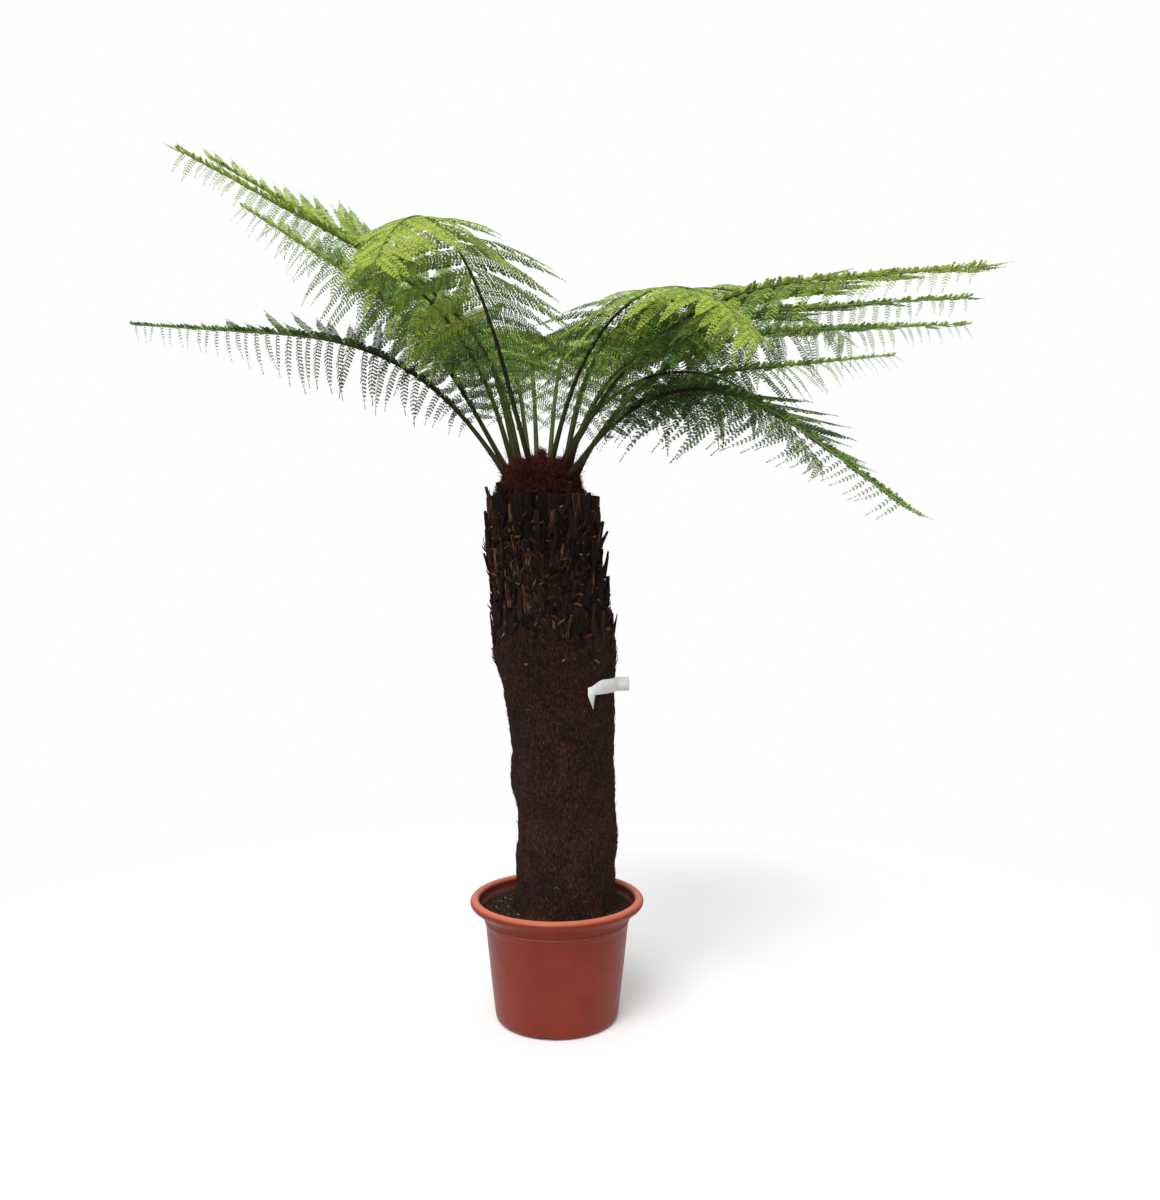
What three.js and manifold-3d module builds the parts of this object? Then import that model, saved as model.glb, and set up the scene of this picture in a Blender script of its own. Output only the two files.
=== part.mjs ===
// A potted tree fern, as separate closed solids in millimetres.
//
// The frame: the origin is the middle of the pot's underside and +Z is up. Someone who faces
// the plant has +X on their right and +Y pointing away from them. A bearing is an angle in
// degrees seen from above, from +X towards +Y.
//
// From the ground up: a plastic pot, the soil in it, the fibrous trunk with the stumps of old
// fronds, a label on it, the woolly bud on top, and the fronds that leave the bud.

import * as THREE from 'three';
import { mergeVertices } from 'three/addons/utils/BufferGeometryUtils.js';
import Module from 'manifold-3d';

const wasm = await Module();
wasm.setup();

// ---------------------------------------------------------------- driving dimensions

const CLEAR = 0.3; // the gap left between two pieces that touch

// The pot: a thin tapered wall, a stepped collar and a thick rolled lip.
const POT = {
  sides: 32,
  cornerRadius: 20, // of the rounded foot
  cornerSteps: 3,
  wallFootRadius: 208,
  wallTopRadius: 240,
  collarFoot: 334,
  collarTop: 352,
  collarStep: 3,
  chamferOut: 28, // the slope from the collar out to the lip
  chamferUp: 14,
  lipRadius: 290,
  lipRoll: 15.5,
  lipTurns: [-65, -30, 0, 45, 90, 130, 165], // degrees round the roll, from underneath inwards
  top: 406,
  wall: 4,
  floor: 8,
  floorRadius: 194,
};

// The soil's level surface, and the trunk's flat cut that stands on it.
const SOIL_TOP = 362;
const TRUNK_FOOT = SOIL_TOP + CLEAR;
const TRUNK_TOP = 1740;

// The trunk's core: height, how far its middle leans along X, and radius.
const TRUNK_SIDES = 24;
const TRUNK_STATIONS = [
  { height: TRUNK_FOOT, lean: 30, radius: 180 },
  { height: 430, lean: 30, radius: 168 },
  { height: 620, lean: 30, radius: 165 },
  { height: 800, lean: 17, radius: 168 },
  { height: 960, lean: 14, radius: 178 },
  { height: 1150, lean: -6, radius: 196 },
  { height: 1350, lean: -22, radius: 194 },
  { height: 1550, lean: -44, radius: 192 },
  { height: 1660, lean: -44, radius: 184 },
  { height: TRUNK_TOP, lean: -53, radius: 174 },
];

// The stumps of old fronds: rows of cut bars that stand out of the upper trunk.
const STUMPS = {
  seed: 7,
  rows: 5,
  perRow: 11,
  lowest: 1170,
  highest: 1600,
  heightSpread: 22, // how far a stump strays from its row
  bearingSpread: 0.2, // as a share of the step between two stumps
  length: 135,
  leastSize: 0.75,
  width: 34,
  thickness: 24,
  endShare: 0.8, // the end's width beside the root's
  leastLean: 9,
  mostLean: 20,
  rootDepth: 16,
};

// The label: a blank strap bent round the trunk's side, with a pointed tail.
const LABEL = {
  height: 1120,
  width: 46,
  thickness: 7,
  fromBearing: -62,
  toBearing: -14,
  freeEnd: 38,
  freeEndThickness: 3,
  freeEndSwing: 6, // how far the free end strays from a straight line outwards
  foldBearing: 3, // degrees past the last bearing, where the strap's inside leaves the trunk
  arcSteps: 8,
  tailWidth: 22,
  tailTop: 12, // under the strap's middle
  tailDrop: 70,
};

// The woolly bud on the trunk's top: radius and height above it, up to the knob.
const BUD_PROFILE = [
  [150, CLEAR],
  [141, 24],
  [128, 52],
  [120, 86],
  [100, 106],
  [66, 118],
  [40, 126],
  [30, 142],
  [0, 147],
];
const BUD_SIDES = 20;

// A frond: a stiff rib that bends over, with pairs of leaflets from the end of its stalk on.
// Each leaflet here stands for a few of the plant's, with the gap beside it. Where two values
// stand for an age, the first is a new frond's and the second an old one's.
const RIB_STEPS = 60;
const RIB_WIDTH = [25, 5]; // at the foot and at the tip
const RIB_THICKNESS = [18, 4];
const STALK_STATIONS = [0, 0.05, 0.1];
const STALK_SHARE = 0.15;
const PAIRS = 15;
const LEAFLET = {
  fullestAt: 0.42, // the place of the longest pair, counted from the stalk's end
  firstSize: 0.22, // the first pair's length as a share of the longest
  lastSize: 0.28,
  thinning: 3, // how soon the pairs grow short after the longest one
  forwardYoung: [94, 56], // from the rib's direction, for the first and the last pair
  forwardOld: [100, 90],
  droop: [8, 38], // by age
  sag: [0.32, 0.14], // by age: how far the tip hangs, as a share of the length
  curl: [0, 0.26], // by age: how far the tip bends back towards the rib's foot
  fullLift: 6, // the roll from which a side counts as wholly lifted or dropped
  liftedForward: 40,
  liftedDroop: 8,
  leaning: [0.1, 0.6], // the ranks between which the lifted leaflets come to lean forward
  droppedShare: 0.76, // the dropped side's leaflets are this much shorter
  crowding: 1.2, // the distance between the first pairs beside the average one
  leastSize: 0.35, // the width of the shortest leaflet beside the longest
  rootWidth: 0.5, // as a share of the distance between two pairs
  middleWidth: 0.56,
  middleAt: 0.45,
  middleThickness: 6,
};
// Each leaflet is tested as a row of balls, which grow small towards the point.
const BALLS = [
  { at: 0.06, radius: 25 },
  { at: 0.2, radius: 27 },
  { at: 0.35, radius: 28 },
  { at: 0.5, radius: 28 },
  { at: 0.65, radius: 23 },
  { at: 0.82, radius: 16 },
  { at: 1, radius: 9 },
];
const RIB_BALL = 24;
const SHORTENED = [1, 0.86, 0.72, 0.58, 0.44, 0.3];
const PARTING_PAIRS = [4, 9]; // a frond is parted no nearer its foot or its tip than this

// One entry a frond: the bearing and rise of its foot, the slope of its tip, the shares of the
// length between which it bends, the length, the longest leaflet's length, the foot's distance
// from the crown's axis and height over the trunk's top, the swing of its bearing, its age from
// 0 to 1, and the roll that lifts its left side and grows over the length of the stalk.
const frondRow = (bearing, rise, tip, bend, length, leaf, foot, swing, age, roll) => (
  { bearing, rise, tip, bend, length, leaf, foot, swing, age, roll }
);
const FRONDS = [
  frondRow(172, 56, 5, [0, 0.7], 1530, 230, [106, 56], 0, 1, -38),
  frondRow(156, 59, 33, [0.1, 0.7], 1600, 300, [106, 60], 0, 0.6, -33),
  frondRow(203, 73, 22, [0.05, 0.7], 1450, 310, [88, 60], 0, 0.35, -38),
  frondRow(179, 79, 30, [0.05, 0.6], 1560, 300, [60, 60], 0, 0.45, -46),
  frondRow(248, 52, -48, [0.15, 1.1], 1520, 320, [62, 60], 14, 0.1, 0),
  frondRow(301, 66, -46, [0, 1.07], 1300, 320, [50, 60], 2, 0.15, 0),
  frondRow(313, 51, -8, [0, 0.78], 1570, 310, [86, 64], 0, 0.35, 17),
  frondRow(3, 67, 3, [-0.1, 0.7], 1570, 300, [108, 54], 0, 0.6, 19),
  frondRow(27, 70, 10, [-0.2, 0.56], 1670, 300, [106, 56], 0, 0.5, 15),
  frondRow(315, 42, -37, [0, 0.78], 1340, 280, [110, 44], 3, 1, 9),
  frondRow(346, 80, 1, [-0.08, 0.64], 1510, 290, [90, 66], 0, 0.8, 18),
  frondRow(50, 71, -8, [0.1, 0.8], 1560, 300, [104, 60], 0, 0.25, 0),
  frondRow(74, 75, -12, [0.1, 0.8], 1500, 290, [84, 60], 0, 0.05, 0),
  frondRow(97, 70, -10, [0.1, 0.8], 1540, 290, [104, 60], 0, 0.2, 0),
  frondRow(117, 75, -12, [0.1, 0.8], 1480, 290, [76, 60], 0, 0.05, 0),
  frondRow(136, 74, 14, [0.1, 0.8], 1460, 290, [104, 60], 0, 0.3, 0),
  frondRow(329, 66, -50, [-0.1, 0.95], 1140, 280, [60, 66], 0, 0.5, 0),
  frondRow(15, 80, -20, [0.05, 0.9], 1500, 300, [76, 62], 0, 0.15, 0),
];

// ---------------------------------------------------------------- finishes

const FINISHES = {
  pot: { color: 0x8b3a2a, roughness: 0.5, metalness: 0 },
  soil: { color: 0x311d17, roughness: 1, metalness: 0 },
  trunk: { color: 0x2f1d18, roughness: 1, metalness: 0 },
  label: { color: 0xe6e8e6, roughness: 0.6, metalness: 0 },
  wool: { color: 0x6e2a18, roughness: 1, metalness: 0 },
  frond: { color: 0x647f37, roughness: 0.7, metalness: 0 },
};

function piece(name, geometry, finish) {
  geometry.computeVertexNormals();
  const mesh = new THREE.Mesh(geometry, new THREE.MeshStandardMaterial(FINISHES[finish]));
  mesh.name = name;
  return mesh;
}

// ---------------------------------------------------------------- helpers

const radians = THREE.MathUtils.degToRad;
const lerp = THREE.MathUtils.lerp;
const vec = (x, y, z) => new THREE.Vector3(x, y, z);

// A repeatable stream of numbers between 0 and 1, each made from the one before it.
const STREAM = { factor: 1664525, step: 1013904223, range: 2 ** 32 };

function randomStream(seed) {
  let state = seed;
  return () => {
    state = (state * STREAM.factor + STREAM.step) % STREAM.range;
    return state / STREAM.range;
  };
}

// A geometry from corner points and triangles of their indices.
function indexedGeometry(points, triangles) {
  const geometry = new THREE.BufferGeometry().setFromPoints(points);
  geometry.setIndex(triangles.flat());
  return geometry;
}

// A closed skin over rings of points that each run anticlockwise seen from the last ring.
function loft(rings) {
  const count = rings[0].length;
  const points = rings.flat();
  const triangles = [];
  for (let ring = 0; ring + 1 < rings.length; ring++) {
    for (let i = 0; i < count; i++) {
      const a = ring * count + i;
      const b = ring * count + ((i + 1) % count);
      triangles.push([a, b, b + count], [a, b + count, a + count]);
    }
  }
  for (let i = 1; i + 1 < count; i++) {
    const last = (rings.length - 1) * count;
    triangles.push([0, i + 1, i], [last, last + i, last + i + 1]);
  }
  return indexedGeometry(points, triangles);
}

function solidOf(geometry) {
  const bare = geometry.clone();
  bare.deleteAttribute('normal');
  bare.deleteAttribute('uv');
  const merged = mergeVertices(bare);
  return new wasm.Manifold(new wasm.Mesh({
    numProp: 3,
    vertProperties: new Float32Array(merged.attributes.position.array),
    triVerts: new Uint32Array(merged.index.array),
  }));
}

function geometryOf(solid) {
  const mesh = solid.getMesh();
  const geometry = new THREE.BufferGeometry();
  const positions = new THREE.BufferAttribute(new Float32Array(mesh.vertProperties), 3);
  geometry.setAttribute('position', positions);
  geometry.setIndex(Array.from(mesh.triVerts));
  return geometry;
}

// A turned shape about the Z axis, from [radius, height] points.
function turned(profile, sides) {
  const points = profile.map(([radius, height]) => new THREE.Vector2(radius, height));
  return new THREE.LatheGeometry(points, sides).rotateX(Math.PI / 2);
}

// ---------------------------------------------------------------- pot and soil

// The space inside the pot, from its floor up to where the lip flares, less a clearance.
const potInside = (clear) => [
  [0, POT.floor + clear],
  [POT.floorRadius - clear, POT.floor + clear],
  [POT.wallFootRadius - POT.wall - clear, POT.cornerRadius],
  [POT.wallTopRadius - POT.wall - clear, POT.collarTop],
];

// Points on an arc about a [radius, height] middle, at turns in degrees.
const arc = ([radius, height], size, turns) => turns.map((turn) => (
  [radius + size * Math.cos(radians(turn)), height + size * Math.sin(radians(turn))]
));

function pot() {
  const { cornerRadius, cornerSteps, wallFootRadius, wallTopRadius, lipRadius, lipRoll, top } = POT;
  const corner = [wallFootRadius - cornerRadius, cornerRadius];
  const cornerTurns = Array.from({ length: cornerSteps }, (_, i) => 90 * (i / (cornerSteps - 1) - 1));
  const collarRadius = wallTopRadius + POT.collarStep;
  const lip = [lipRadius - lipRoll, top - lipRoll];
  const profile = [
    [0, 0],
    ...arc(corner, cornerRadius, cornerTurns),
    [wallTopRadius, POT.collarFoot - POT.collarStep],
    [collarRadius, POT.collarFoot],
    [collarRadius, POT.collarTop],
    [collarRadius + POT.chamferOut, POT.collarTop + POT.chamferUp],
    ...arc(lip, lipRoll, POT.lipTurns),
  ];
  return turned([...profile, ...potInside(0).reverse()], POT.sides);
}

function soil() {
  const inside = potInside(CLEAR);
  const [widest] = inside.at(-1);
  return turned([...inside, [widest, SOIL_TOP], [0, SOIL_TOP]], POT.sides);
}

// ---------------------------------------------------------------- trunk

function trunkAt(height) {
  const next = Math.max(1, TRUNK_STATIONS.findIndex((station) => station.height >= height));
  const [a, b] = [TRUNK_STATIONS[next - 1], TRUNK_STATIONS[next]];
  const share = (height - a.height) / (b.height - a.height);
  return { lean: lerp(a.lean, b.lean, share), radius: lerp(a.radius, b.radius, share) };
}

function trunkPoint(height, bearing, outwards = 0) {
  const { lean, radius } = trunkAt(height);
  const reach = radius + outwards;
  return vec(lean + reach * Math.cos(bearing), reach * Math.sin(bearing), height);
}

// The plain core, or a copy grown by a clearance for cutting its neighbours.
function trunkCore(grown = 0) {
  const rings = TRUNK_STATIONS.map(({ height }) => Array.from(
    { length: TRUNK_SIDES },
    (_, i) => trunkPoint(height, (2 * Math.PI * i) / TRUNK_SIDES, grown),
  ));
  return solidOf(loft(rings));
}

// A bar with a flat end, leaning out of the trunk.
function stump(height, bearing, lean, size) {
  const outward = vec(Math.cos(bearing), Math.sin(bearing), 0);
  const around = vec(-Math.sin(bearing), Math.cos(bearing), 0);
  const root = trunkPoint(height, bearing, -STUMPS.rootDepth);
  const rise = STUMPS.length * size;
  const end = root.clone().add(vec(0, 0, rise)).addScaledVector(outward, rise * Math.tan(lean));
  const ring = (middle, shrink) => [[-1, -1], [1, -1], [1, 1], [-1, 1]].map(([out, side]) =>
    middle.clone()
      .addScaledVector(outward, out * STUMPS.thickness * shrink / 2)
      .addScaledVector(around, side * STUMPS.width * shrink / 2));
  return solidOf(loft([ring(root, 1), ring(end, STUMPS.endShare)]));
}

function trunk() {
  const { rows, perRow, heightSpread, bearingSpread } = STUMPS;
  const random = randomStream(STUMPS.seed);
  const between = (low, high) => lerp(low, high, random());
  let solid = trunkCore();
  for (let row = 0; row < rows; row++) {
    const rowHeight = lerp(STUMPS.lowest, STUMPS.highest, row / (rows - 1));
    for (let i = 0; i < perRow; i++) {
      const turn = (i + (row % 2) / 2 + between(-bearingSpread, bearingSpread)) / perRow;
      const lean = radians(between(STUMPS.leastLean, STUMPS.mostLean));
      const height = rowHeight + between(-heightSpread, heightSpread);
      const bar = stump(height, 2 * Math.PI * turn, lean, between(STUMPS.leastSize, 1));
      solid = solid.add(bar);
    }
  }
  return geometryOf(solid);
}

// The strap follows the trunk's side and leaves it straight, and its tail hangs at the front.
function label() {
  const { height, width, thickness, freeEnd, freeEndSwing, freeEndThickness } = LABEL;
  const { lean, radius } = trunkAt(height);
  const inside = radius - thickness;
  const outside = radius + thickness;
  const from = radians(LABEL.fromBearing);
  const to = radians(LABEL.toBearing);
  const plan = new THREE.Shape();
  plan.absarc(0, 0, outside, from, to, false);
  const end = vec(Math.cos(to), Math.sin(to), 0);
  const tangent = vec(-end.y, end.x, 0);
  const free = end.multiplyScalar(outside + freeEnd).addScaledVector(tangent, freeEndSwing);
  plan.lineTo(free.x, free.y);
  free.addScaledVector(tangent, freeEndThickness);
  plan.lineTo(free.x, free.y);
  plan.absarc(0, 0, inside, radians(LABEL.toBearing + LABEL.foldBearing), from, true);
  const extrusion = { depth: width, bevelEnabled: false, curveSegments: LABEL.arcSteps };
  const strap = new THREE.ExtrudeGeometry(plan, extrusion);
  strap.translate(lean, 0, height - width / 2);

  const tailEnd = from + LABEL.tailWidth / outside;
  const tailRing = (reach) => [
    vec(reach * Math.cos(from), reach * Math.sin(from), height - LABEL.tailTop),
    vec(reach * Math.cos(tailEnd), reach * Math.sin(tailEnd), height - LABEL.tailTop),
    vec(reach * Math.cos(tailEnd), reach * Math.sin(tailEnd), height - LABEL.tailDrop),
  ];
  const tail = loft([tailRing(inside), tailRing(outside)]).translate(lean, 0, 0);
  return geometryOf(solidOf(strap).add(solidOf(tail)).subtract(trunkCore(CLEAR)));
}

// ---------------------------------------------------------------- ribs of the fronds

// The rib's own directions at a share of its length: along it, to its left and up from it.
function ribAxes({ bearing, rise, tip, bend, swing, roll }, share) {
  const slope = radians(lerp(rise, tip, THREE.MathUtils.smoothstep(share, ...bend)));
  const turn = radians(bearing + swing * share);
  const level = vec(Math.cos(turn), Math.sin(turn), 0);
  const along = level.clone().multiplyScalar(Math.cos(slope)).add(vec(0, 0, Math.sin(slope)));
  const rolled = radians(roll * Math.min(1, share / STALK_SHARE));
  const left = vec(-level.y, level.x, 0).applyAxisAngle(along, rolled);
  return { along, left, up: along.clone().cross(left) };
}

// The rib's points from foot to tip, walked in short steps.
function growRib(frond) {
  const [distance, height] = frond.foot;
  const bearing = radians(frond.bearing);
  const points = [vec(distance * Math.cos(bearing), distance * Math.sin(bearing), height)];
  for (let i = 0; i < RIB_STEPS; i++) {
    const { along } = ribAxes(frond, (i + 0.5) / RIB_STEPS);
    points.push(points[i].clone().addScaledVector(along, frond.length / RIB_STEPS));
  }
  return points;
}

function ribPoint(frond, share) {
  const place = share * RIB_STEPS;
  const i = THREE.MathUtils.clamp(Math.floor(place), 0, RIB_STEPS - 1);
  return frond.rib[i].clone().lerp(frond.rib[i + 1], place - i);
}

// The rib's four-cornered section: left top, right top, right bottom, left bottom.
function ribSection(frond, share, grown = 0) {
  const { left, up } = ribAxes(frond, share);
  const halfWidth = lerp(...RIB_WIDTH, share) / 2 + grown;
  const halfThickness = lerp(...RIB_THICKNESS, share) / 2 + grown;
  return [[1, 1], [-1, 1], [-1, -1], [1, -1]].map(([side, over]) => ribPoint(frond, share)
    .addScaledVector(left, side * halfWidth)
    .addScaledVector(up, over * halfThickness));
}

// ---------------------------------------------------------------- leaflets

// How long a pair is beside the longest one, from the first pair, 0, to the last, 1.
function fullness(rank) {
  const { fullestAt, firstSize, lastSize } = LEAFLET;
  if (rank < fullestAt) {
    return lerp(firstSize, 1, Math.sin((Math.PI / 2) * (rank / fullestAt)));
  }
  const past = (rank - fullestAt) / (1 - fullestAt);
  return lerp(lastSize, 1, Math.cos((Math.PI / 2) * past) ** LEAFLET.thinning);
}

// The share of the rib's length at which a pair grows: the pairs stand closer towards the tip.
function pairShare(place) {
  const rank = place * lerp(LEAFLET.crowding, 1, place);
  return { rank, share: STALK_SHARE + (1 - STALK_SHARE) * rank };
}

// Where a rib is rolled, one side is lifted and its leaflets lean forward along the rib, and the
// other is dropped, so that its leaflets hang and curl back.
function leaflet(frond, pair, side) {
  const { rank, share } = pairShare((pair + 0.5) / PAIRS);
  const { along, left, up } = ribAxes(frond, share);
  const tilt = side * frond.roll / LEAFLET.fullLift;
  const lift = THREE.MathUtils.clamp(tilt, 0, 1);
  const drop = THREE.MathUtils.clamp(-tilt, 0, 1);
  const young = lerp(...LEAFLET.forwardYoung, rank);
  const old = lerp(...LEAFLET.forwardOld, rank);
  const leaning = lift * THREE.MathUtils.smoothstep(rank, ...LEAFLET.leaning);
  const forward = radians(lerp(lerp(young, old, frond.age), LEAFLET.liftedForward, leaning));
  const droop = radians(lerp(lerp(...LEAFLET.droop, frond.age), LEAFLET.liftedDroop, lift));
  const outward = left.multiplyScalar(side * Math.cos(droop)).addScaledVector(up, -Math.sin(droop));
  const aim = along.clone().multiplyScalar(Math.cos(forward)).addScaledVector(outward, Math.sin(forward));
  const across = along.clone().addScaledVector(aim, -along.dot(aim)).normalize();
  const length = frond.leaf * fullness(rank) * lerp(1, LEAFLET.droppedShare, drop);
  const size = lerp(LEAFLET.leastSize, 1, fullness(rank));
  const bend = vec(0, 0, -lerp(...LEAFLET.sag, frond.age))
    .addScaledVector(along, -lerp(...LEAFLET.curl, frond.age))
    .multiplyScalar(1 - lift);
  return { root: ribPoint(frond, share), share, side, aim, across, length, size, bend };
}

function leafletPoint(leaf, q) {
  return leaf.root.clone()
    .addScaledVector(leaf.aim, leaf.length * q)
    .addScaledVector(leaf.bend, leaf.length * q * q);
}

const leafletBalls = (leaf) => BALLS.map(({ at, radius }) => (
  { middle: leafletPoint(leaf, at), radius: radius * leaf.size }
));

// A rib's own balls, so that no leaflet of another frond crosses it.
const ribBalls = (frond) => Array.from({ length: RIB_STEPS / 2 }, (_, i) => (
  { middle: ribPoint(frond, (2 * i + 1) / RIB_STEPS), radius: RIB_BALL }
));

const clash = (ball, others) => others.some(
  (other) => ball.middle.distanceTo(other.middle) < ball.radius + other.radius,
);

// Gives every frond its leaflets. One that would touch another frond is made shorter, and is
// left out where even the shortest would touch.
function growLeaflets(fronds) {
  const taken = fronds.map(ribBalls);
  for (const [number, frond] of fronds.entries()) {
    const others = taken.filter((_, i) => i !== number).flat();
    for (let pair = 0; pair < PAIRS; pair++) {
      for (const side of [1, -1]) {
        const whole = leaflet(frond, pair, side);
        const tries = SHORTENED.map((part) => ({ ...whole, length: whole.length * part }));
        const fits = tries.find((leaf) => !leafletBalls(leaf).some((ball) => clash(ball, others)));
        if (fits) {
          frond.leaflets.push({ ...fits, pair });
          taken[number].push(...leafletBalls(fits));
        }
      }
    }
  }
}

// ---------------------------------------------------------------- a frond's solid

// One closed comb: the rib between two shares of its length, and on each side the leaflets that
// grow from it. A leaflet is drawn out of its own stretch of the rib's side.
function comb(frond, fromShare, toShare) {
  const pitch = frond.length * (1 - STALK_SHARE) / PAIRS;
  const here = frond.leaflets.filter(({ share }) => share > fromShare && share < toShare);
  const pairs = [...new Set(here.map(({ pair }) => pair))].sort((a, b) => a - b);
  const stalk = STALK_STATIONS.filter((share) => share > fromShare);
  const stations = [fromShare, ...stalk].map((share) => ({ share, pair: null }));
  for (const pair of pairs) {
    const { share, size } = here.find((leaf) => leaf.pair === pair);
    const half = LEAFLET.rootWidth * pitch * size / 2 / frond.length;
    stations.push({ share: share - half, pair }, { share: share + half, pair: null });
  }
  stations.push({ share: toShare, pair: null });

  const points = stations.flatMap(({ share }) => ribSection(frond, share));
  const triangles = [];
  const quad = (a, b, c, d) => triangles.push([a, b, c], [a, c, d]);
  for (let k = 0; k + 1 < stations.length; k++) {
    const [near, far] = [4 * k, 4 * k + 4];
    quad(near, near + 1, far + 1, far); // top
    quad(near + 2, near + 3, far + 3, far + 2); // underside
    for (const [side, first, second] of [[-1, 1, 2], [1, 3, 0]]) {
      const root = [near + first, near + second, far + second, far + first];
      const leaf = here.find(({ pair, side: its }) => pair === stations[k].pair && its === side);
      if (leaf) {
        drawLeaflet(leaf, pitch, root, points, triangles);
      } else {
        quad(...root);
      }
    }
  }
  const end = 4 * (stations.length - 1);
  quad(0, 3, 2, 1);
  quad(end, end + 1, end + 2, end + 3);
  return indexedGeometry(points, triangles);
}

// Adds one leaflet on the four corners of its root: a middle section and a point.
function drawLeaflet(leaf, pitch, root, points, triangles) {
  const middle = leafletPoint(leaf, LEAFLET.middleAt);
  const over = leaf.aim.clone().cross(leaf.across).multiplyScalar(-leaf.side);
  const halfWidth = LEAFLET.middleWidth * pitch * leaf.size / 2;
  const halfThickness = LEAFLET.middleThickness * leaf.size / 2;
  const turns = leaf.side < 0
    ? [[-1, 1], [-1, -1], [1, -1], [1, 1]]
    : [[-1, -1], [-1, 1], [1, 1], [1, -1]];
  const first = points.length;
  for (const [onward, above] of turns) {
    points.push(middle.clone()
      .addScaledVector(leaf.across, onward * halfWidth)
      .addScaledVector(over, above * halfThickness));
  }
  points.push(leafletPoint(leaf, 1));
  for (let i = 0; i < 4; i++) {
    const j = (i + 1) % 4;
    triangles.push([root[i], root[j], first + j], [root[i], first + j, first + i]);
    triangles.push([first + i, first + j, first + 4]);
  }
}

// The frond is parted in the middle of its bend, between two pairs.
function partingShare(frond) {
  const bendMiddle = (frond.bend[0] + frond.bend[1]) / 2;
  const pair = Math.round(PAIRS * (bendMiddle - STALK_SHARE) / (1 - STALK_SHARE));
  return pairShare(THREE.MathUtils.clamp(pair, ...PARTING_PAIRS) / PAIRS).share;
}

// ---------------------------------------------------------------- the crown

// The bud is cut round every stalk that comes out of it.
function bud(fronds) {
  let solid = solidOf(turned([[0, CLEAR], ...BUD_PROFILE], BUD_SIDES));
  for (const frond of fronds) {
    const [foot, ...above] = STALK_STATIONS;
    const shares = [foot - CLEAR / frond.length, ...above];
    const rings = shares.map((share) => ribSection(frond, share, CLEAR));
    solid = solid.subtract(solidOf(loft(rings)));
  }
  return geometryOf(solid);
}

function crown() {
  const fronds = FRONDS.map((row) => ({ ...row, rib: growRib(row), leaflets: [] }));
  growLeaflets(fronds);
  const group = new THREE.Group();
  group.add(piece('crown_wool', bud(fronds), 'wool'));
  fronds.forEach((frond, i) => {
    const number = String(i + 1).padStart(2, '0');
    const parting = partingShare(frond);
    const gap = CLEAR / frond.length;
    group.add(piece(`frond_${number}_inner`, comb(frond, 0, parting), 'frond'));
    group.add(piece(`frond_${number}_outer`, comb(frond, parting + gap, 1), 'frond'));
  });
  return group;
}

// ---------------------------------------------------------------- the whole plant

const plant = new THREE.Group();
plant.add(piece('pot', pot(), 'pot'));
plant.add(piece('soil', soil(), 'soil'));
plant.add(piece('trunk', trunk(), 'trunk'));
plant.add(piece('plant_label', label(), 'label'));

const top = crown();
top.position.set(trunkAt(TRUNK_TOP).lean, 0, TRUNK_TOP);
plant.add(top);

export default plant;
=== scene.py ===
# %% [markdown]
# # A potted tree fern
#
# This notebook dresses a tree fern in a plastic pot. The frame that it loads holds the plain
# solids: pot, soil, trunk, label, woolly bud and the fronds as thin combs. Each of them gets a
# finer mesh and a finish here, in the same place and at the same size.
#
# Everything is in metres. The origin is the middle of the pot's underside, +Z is up, and a
# person facing the plant has +X on their right and +Y pointing away from them. A bearing is an
# angle seen from above, from +X towards +Y.

# %% Load the frame
import math

import bmesh
import bpy
import numpy as np
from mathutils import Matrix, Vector, noise
from mathutils.kdtree import KDTree


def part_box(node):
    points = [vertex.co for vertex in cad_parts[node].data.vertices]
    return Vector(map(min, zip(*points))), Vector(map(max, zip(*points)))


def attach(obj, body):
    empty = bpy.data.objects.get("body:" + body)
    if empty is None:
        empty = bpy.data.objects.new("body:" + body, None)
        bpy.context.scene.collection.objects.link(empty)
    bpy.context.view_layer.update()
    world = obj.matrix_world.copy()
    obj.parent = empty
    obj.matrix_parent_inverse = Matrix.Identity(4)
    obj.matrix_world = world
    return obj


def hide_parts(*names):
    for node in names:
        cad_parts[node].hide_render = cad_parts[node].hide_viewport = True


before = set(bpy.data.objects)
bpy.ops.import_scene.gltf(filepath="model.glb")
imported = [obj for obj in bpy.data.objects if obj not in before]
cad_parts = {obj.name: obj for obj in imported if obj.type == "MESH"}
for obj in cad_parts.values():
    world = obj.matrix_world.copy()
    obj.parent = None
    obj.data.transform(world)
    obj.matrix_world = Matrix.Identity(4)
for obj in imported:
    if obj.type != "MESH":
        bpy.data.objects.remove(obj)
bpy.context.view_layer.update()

scene = bpy.context.scene

# %% [markdown]
# ## The camera
#
# A camera is a lens on a sensor. The view here is that of a short lens from about three and a
# half metres away, at chest height, so the rim of the pot is seen from above and the fronds
# from below. It could be shifted to put the plant left of the middle, but turning it by a
# degree does the same and keeps the other views straight.

# %% Place the camera
EYE = Vector((0.0, -3.4, 1.46))
LENS_MM = 30.5
LOOK_DOWN = math.radians(1.07)
LOOK_RIGHT = math.radians(1.3)


def put(name, data):
    """An object that shows the data, linked to the scene."""
    made = bpy.data.objects.new(name, data)
    scene.collection.objects.link(made)
    return made


camera = put("camera", bpy.data.cameras.new("camera"))
camera.location = EYE
camera.rotation_euler = (math.radians(90) - LOOK_DOWN, 0, -LOOK_RIGHT)
camera.data.lens = LENS_MM
camera.data.dof.use_dof = False
scene.camera = camera
print("camera at", tuple(EYE), "with a", LENS_MM, "mm lens")

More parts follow.
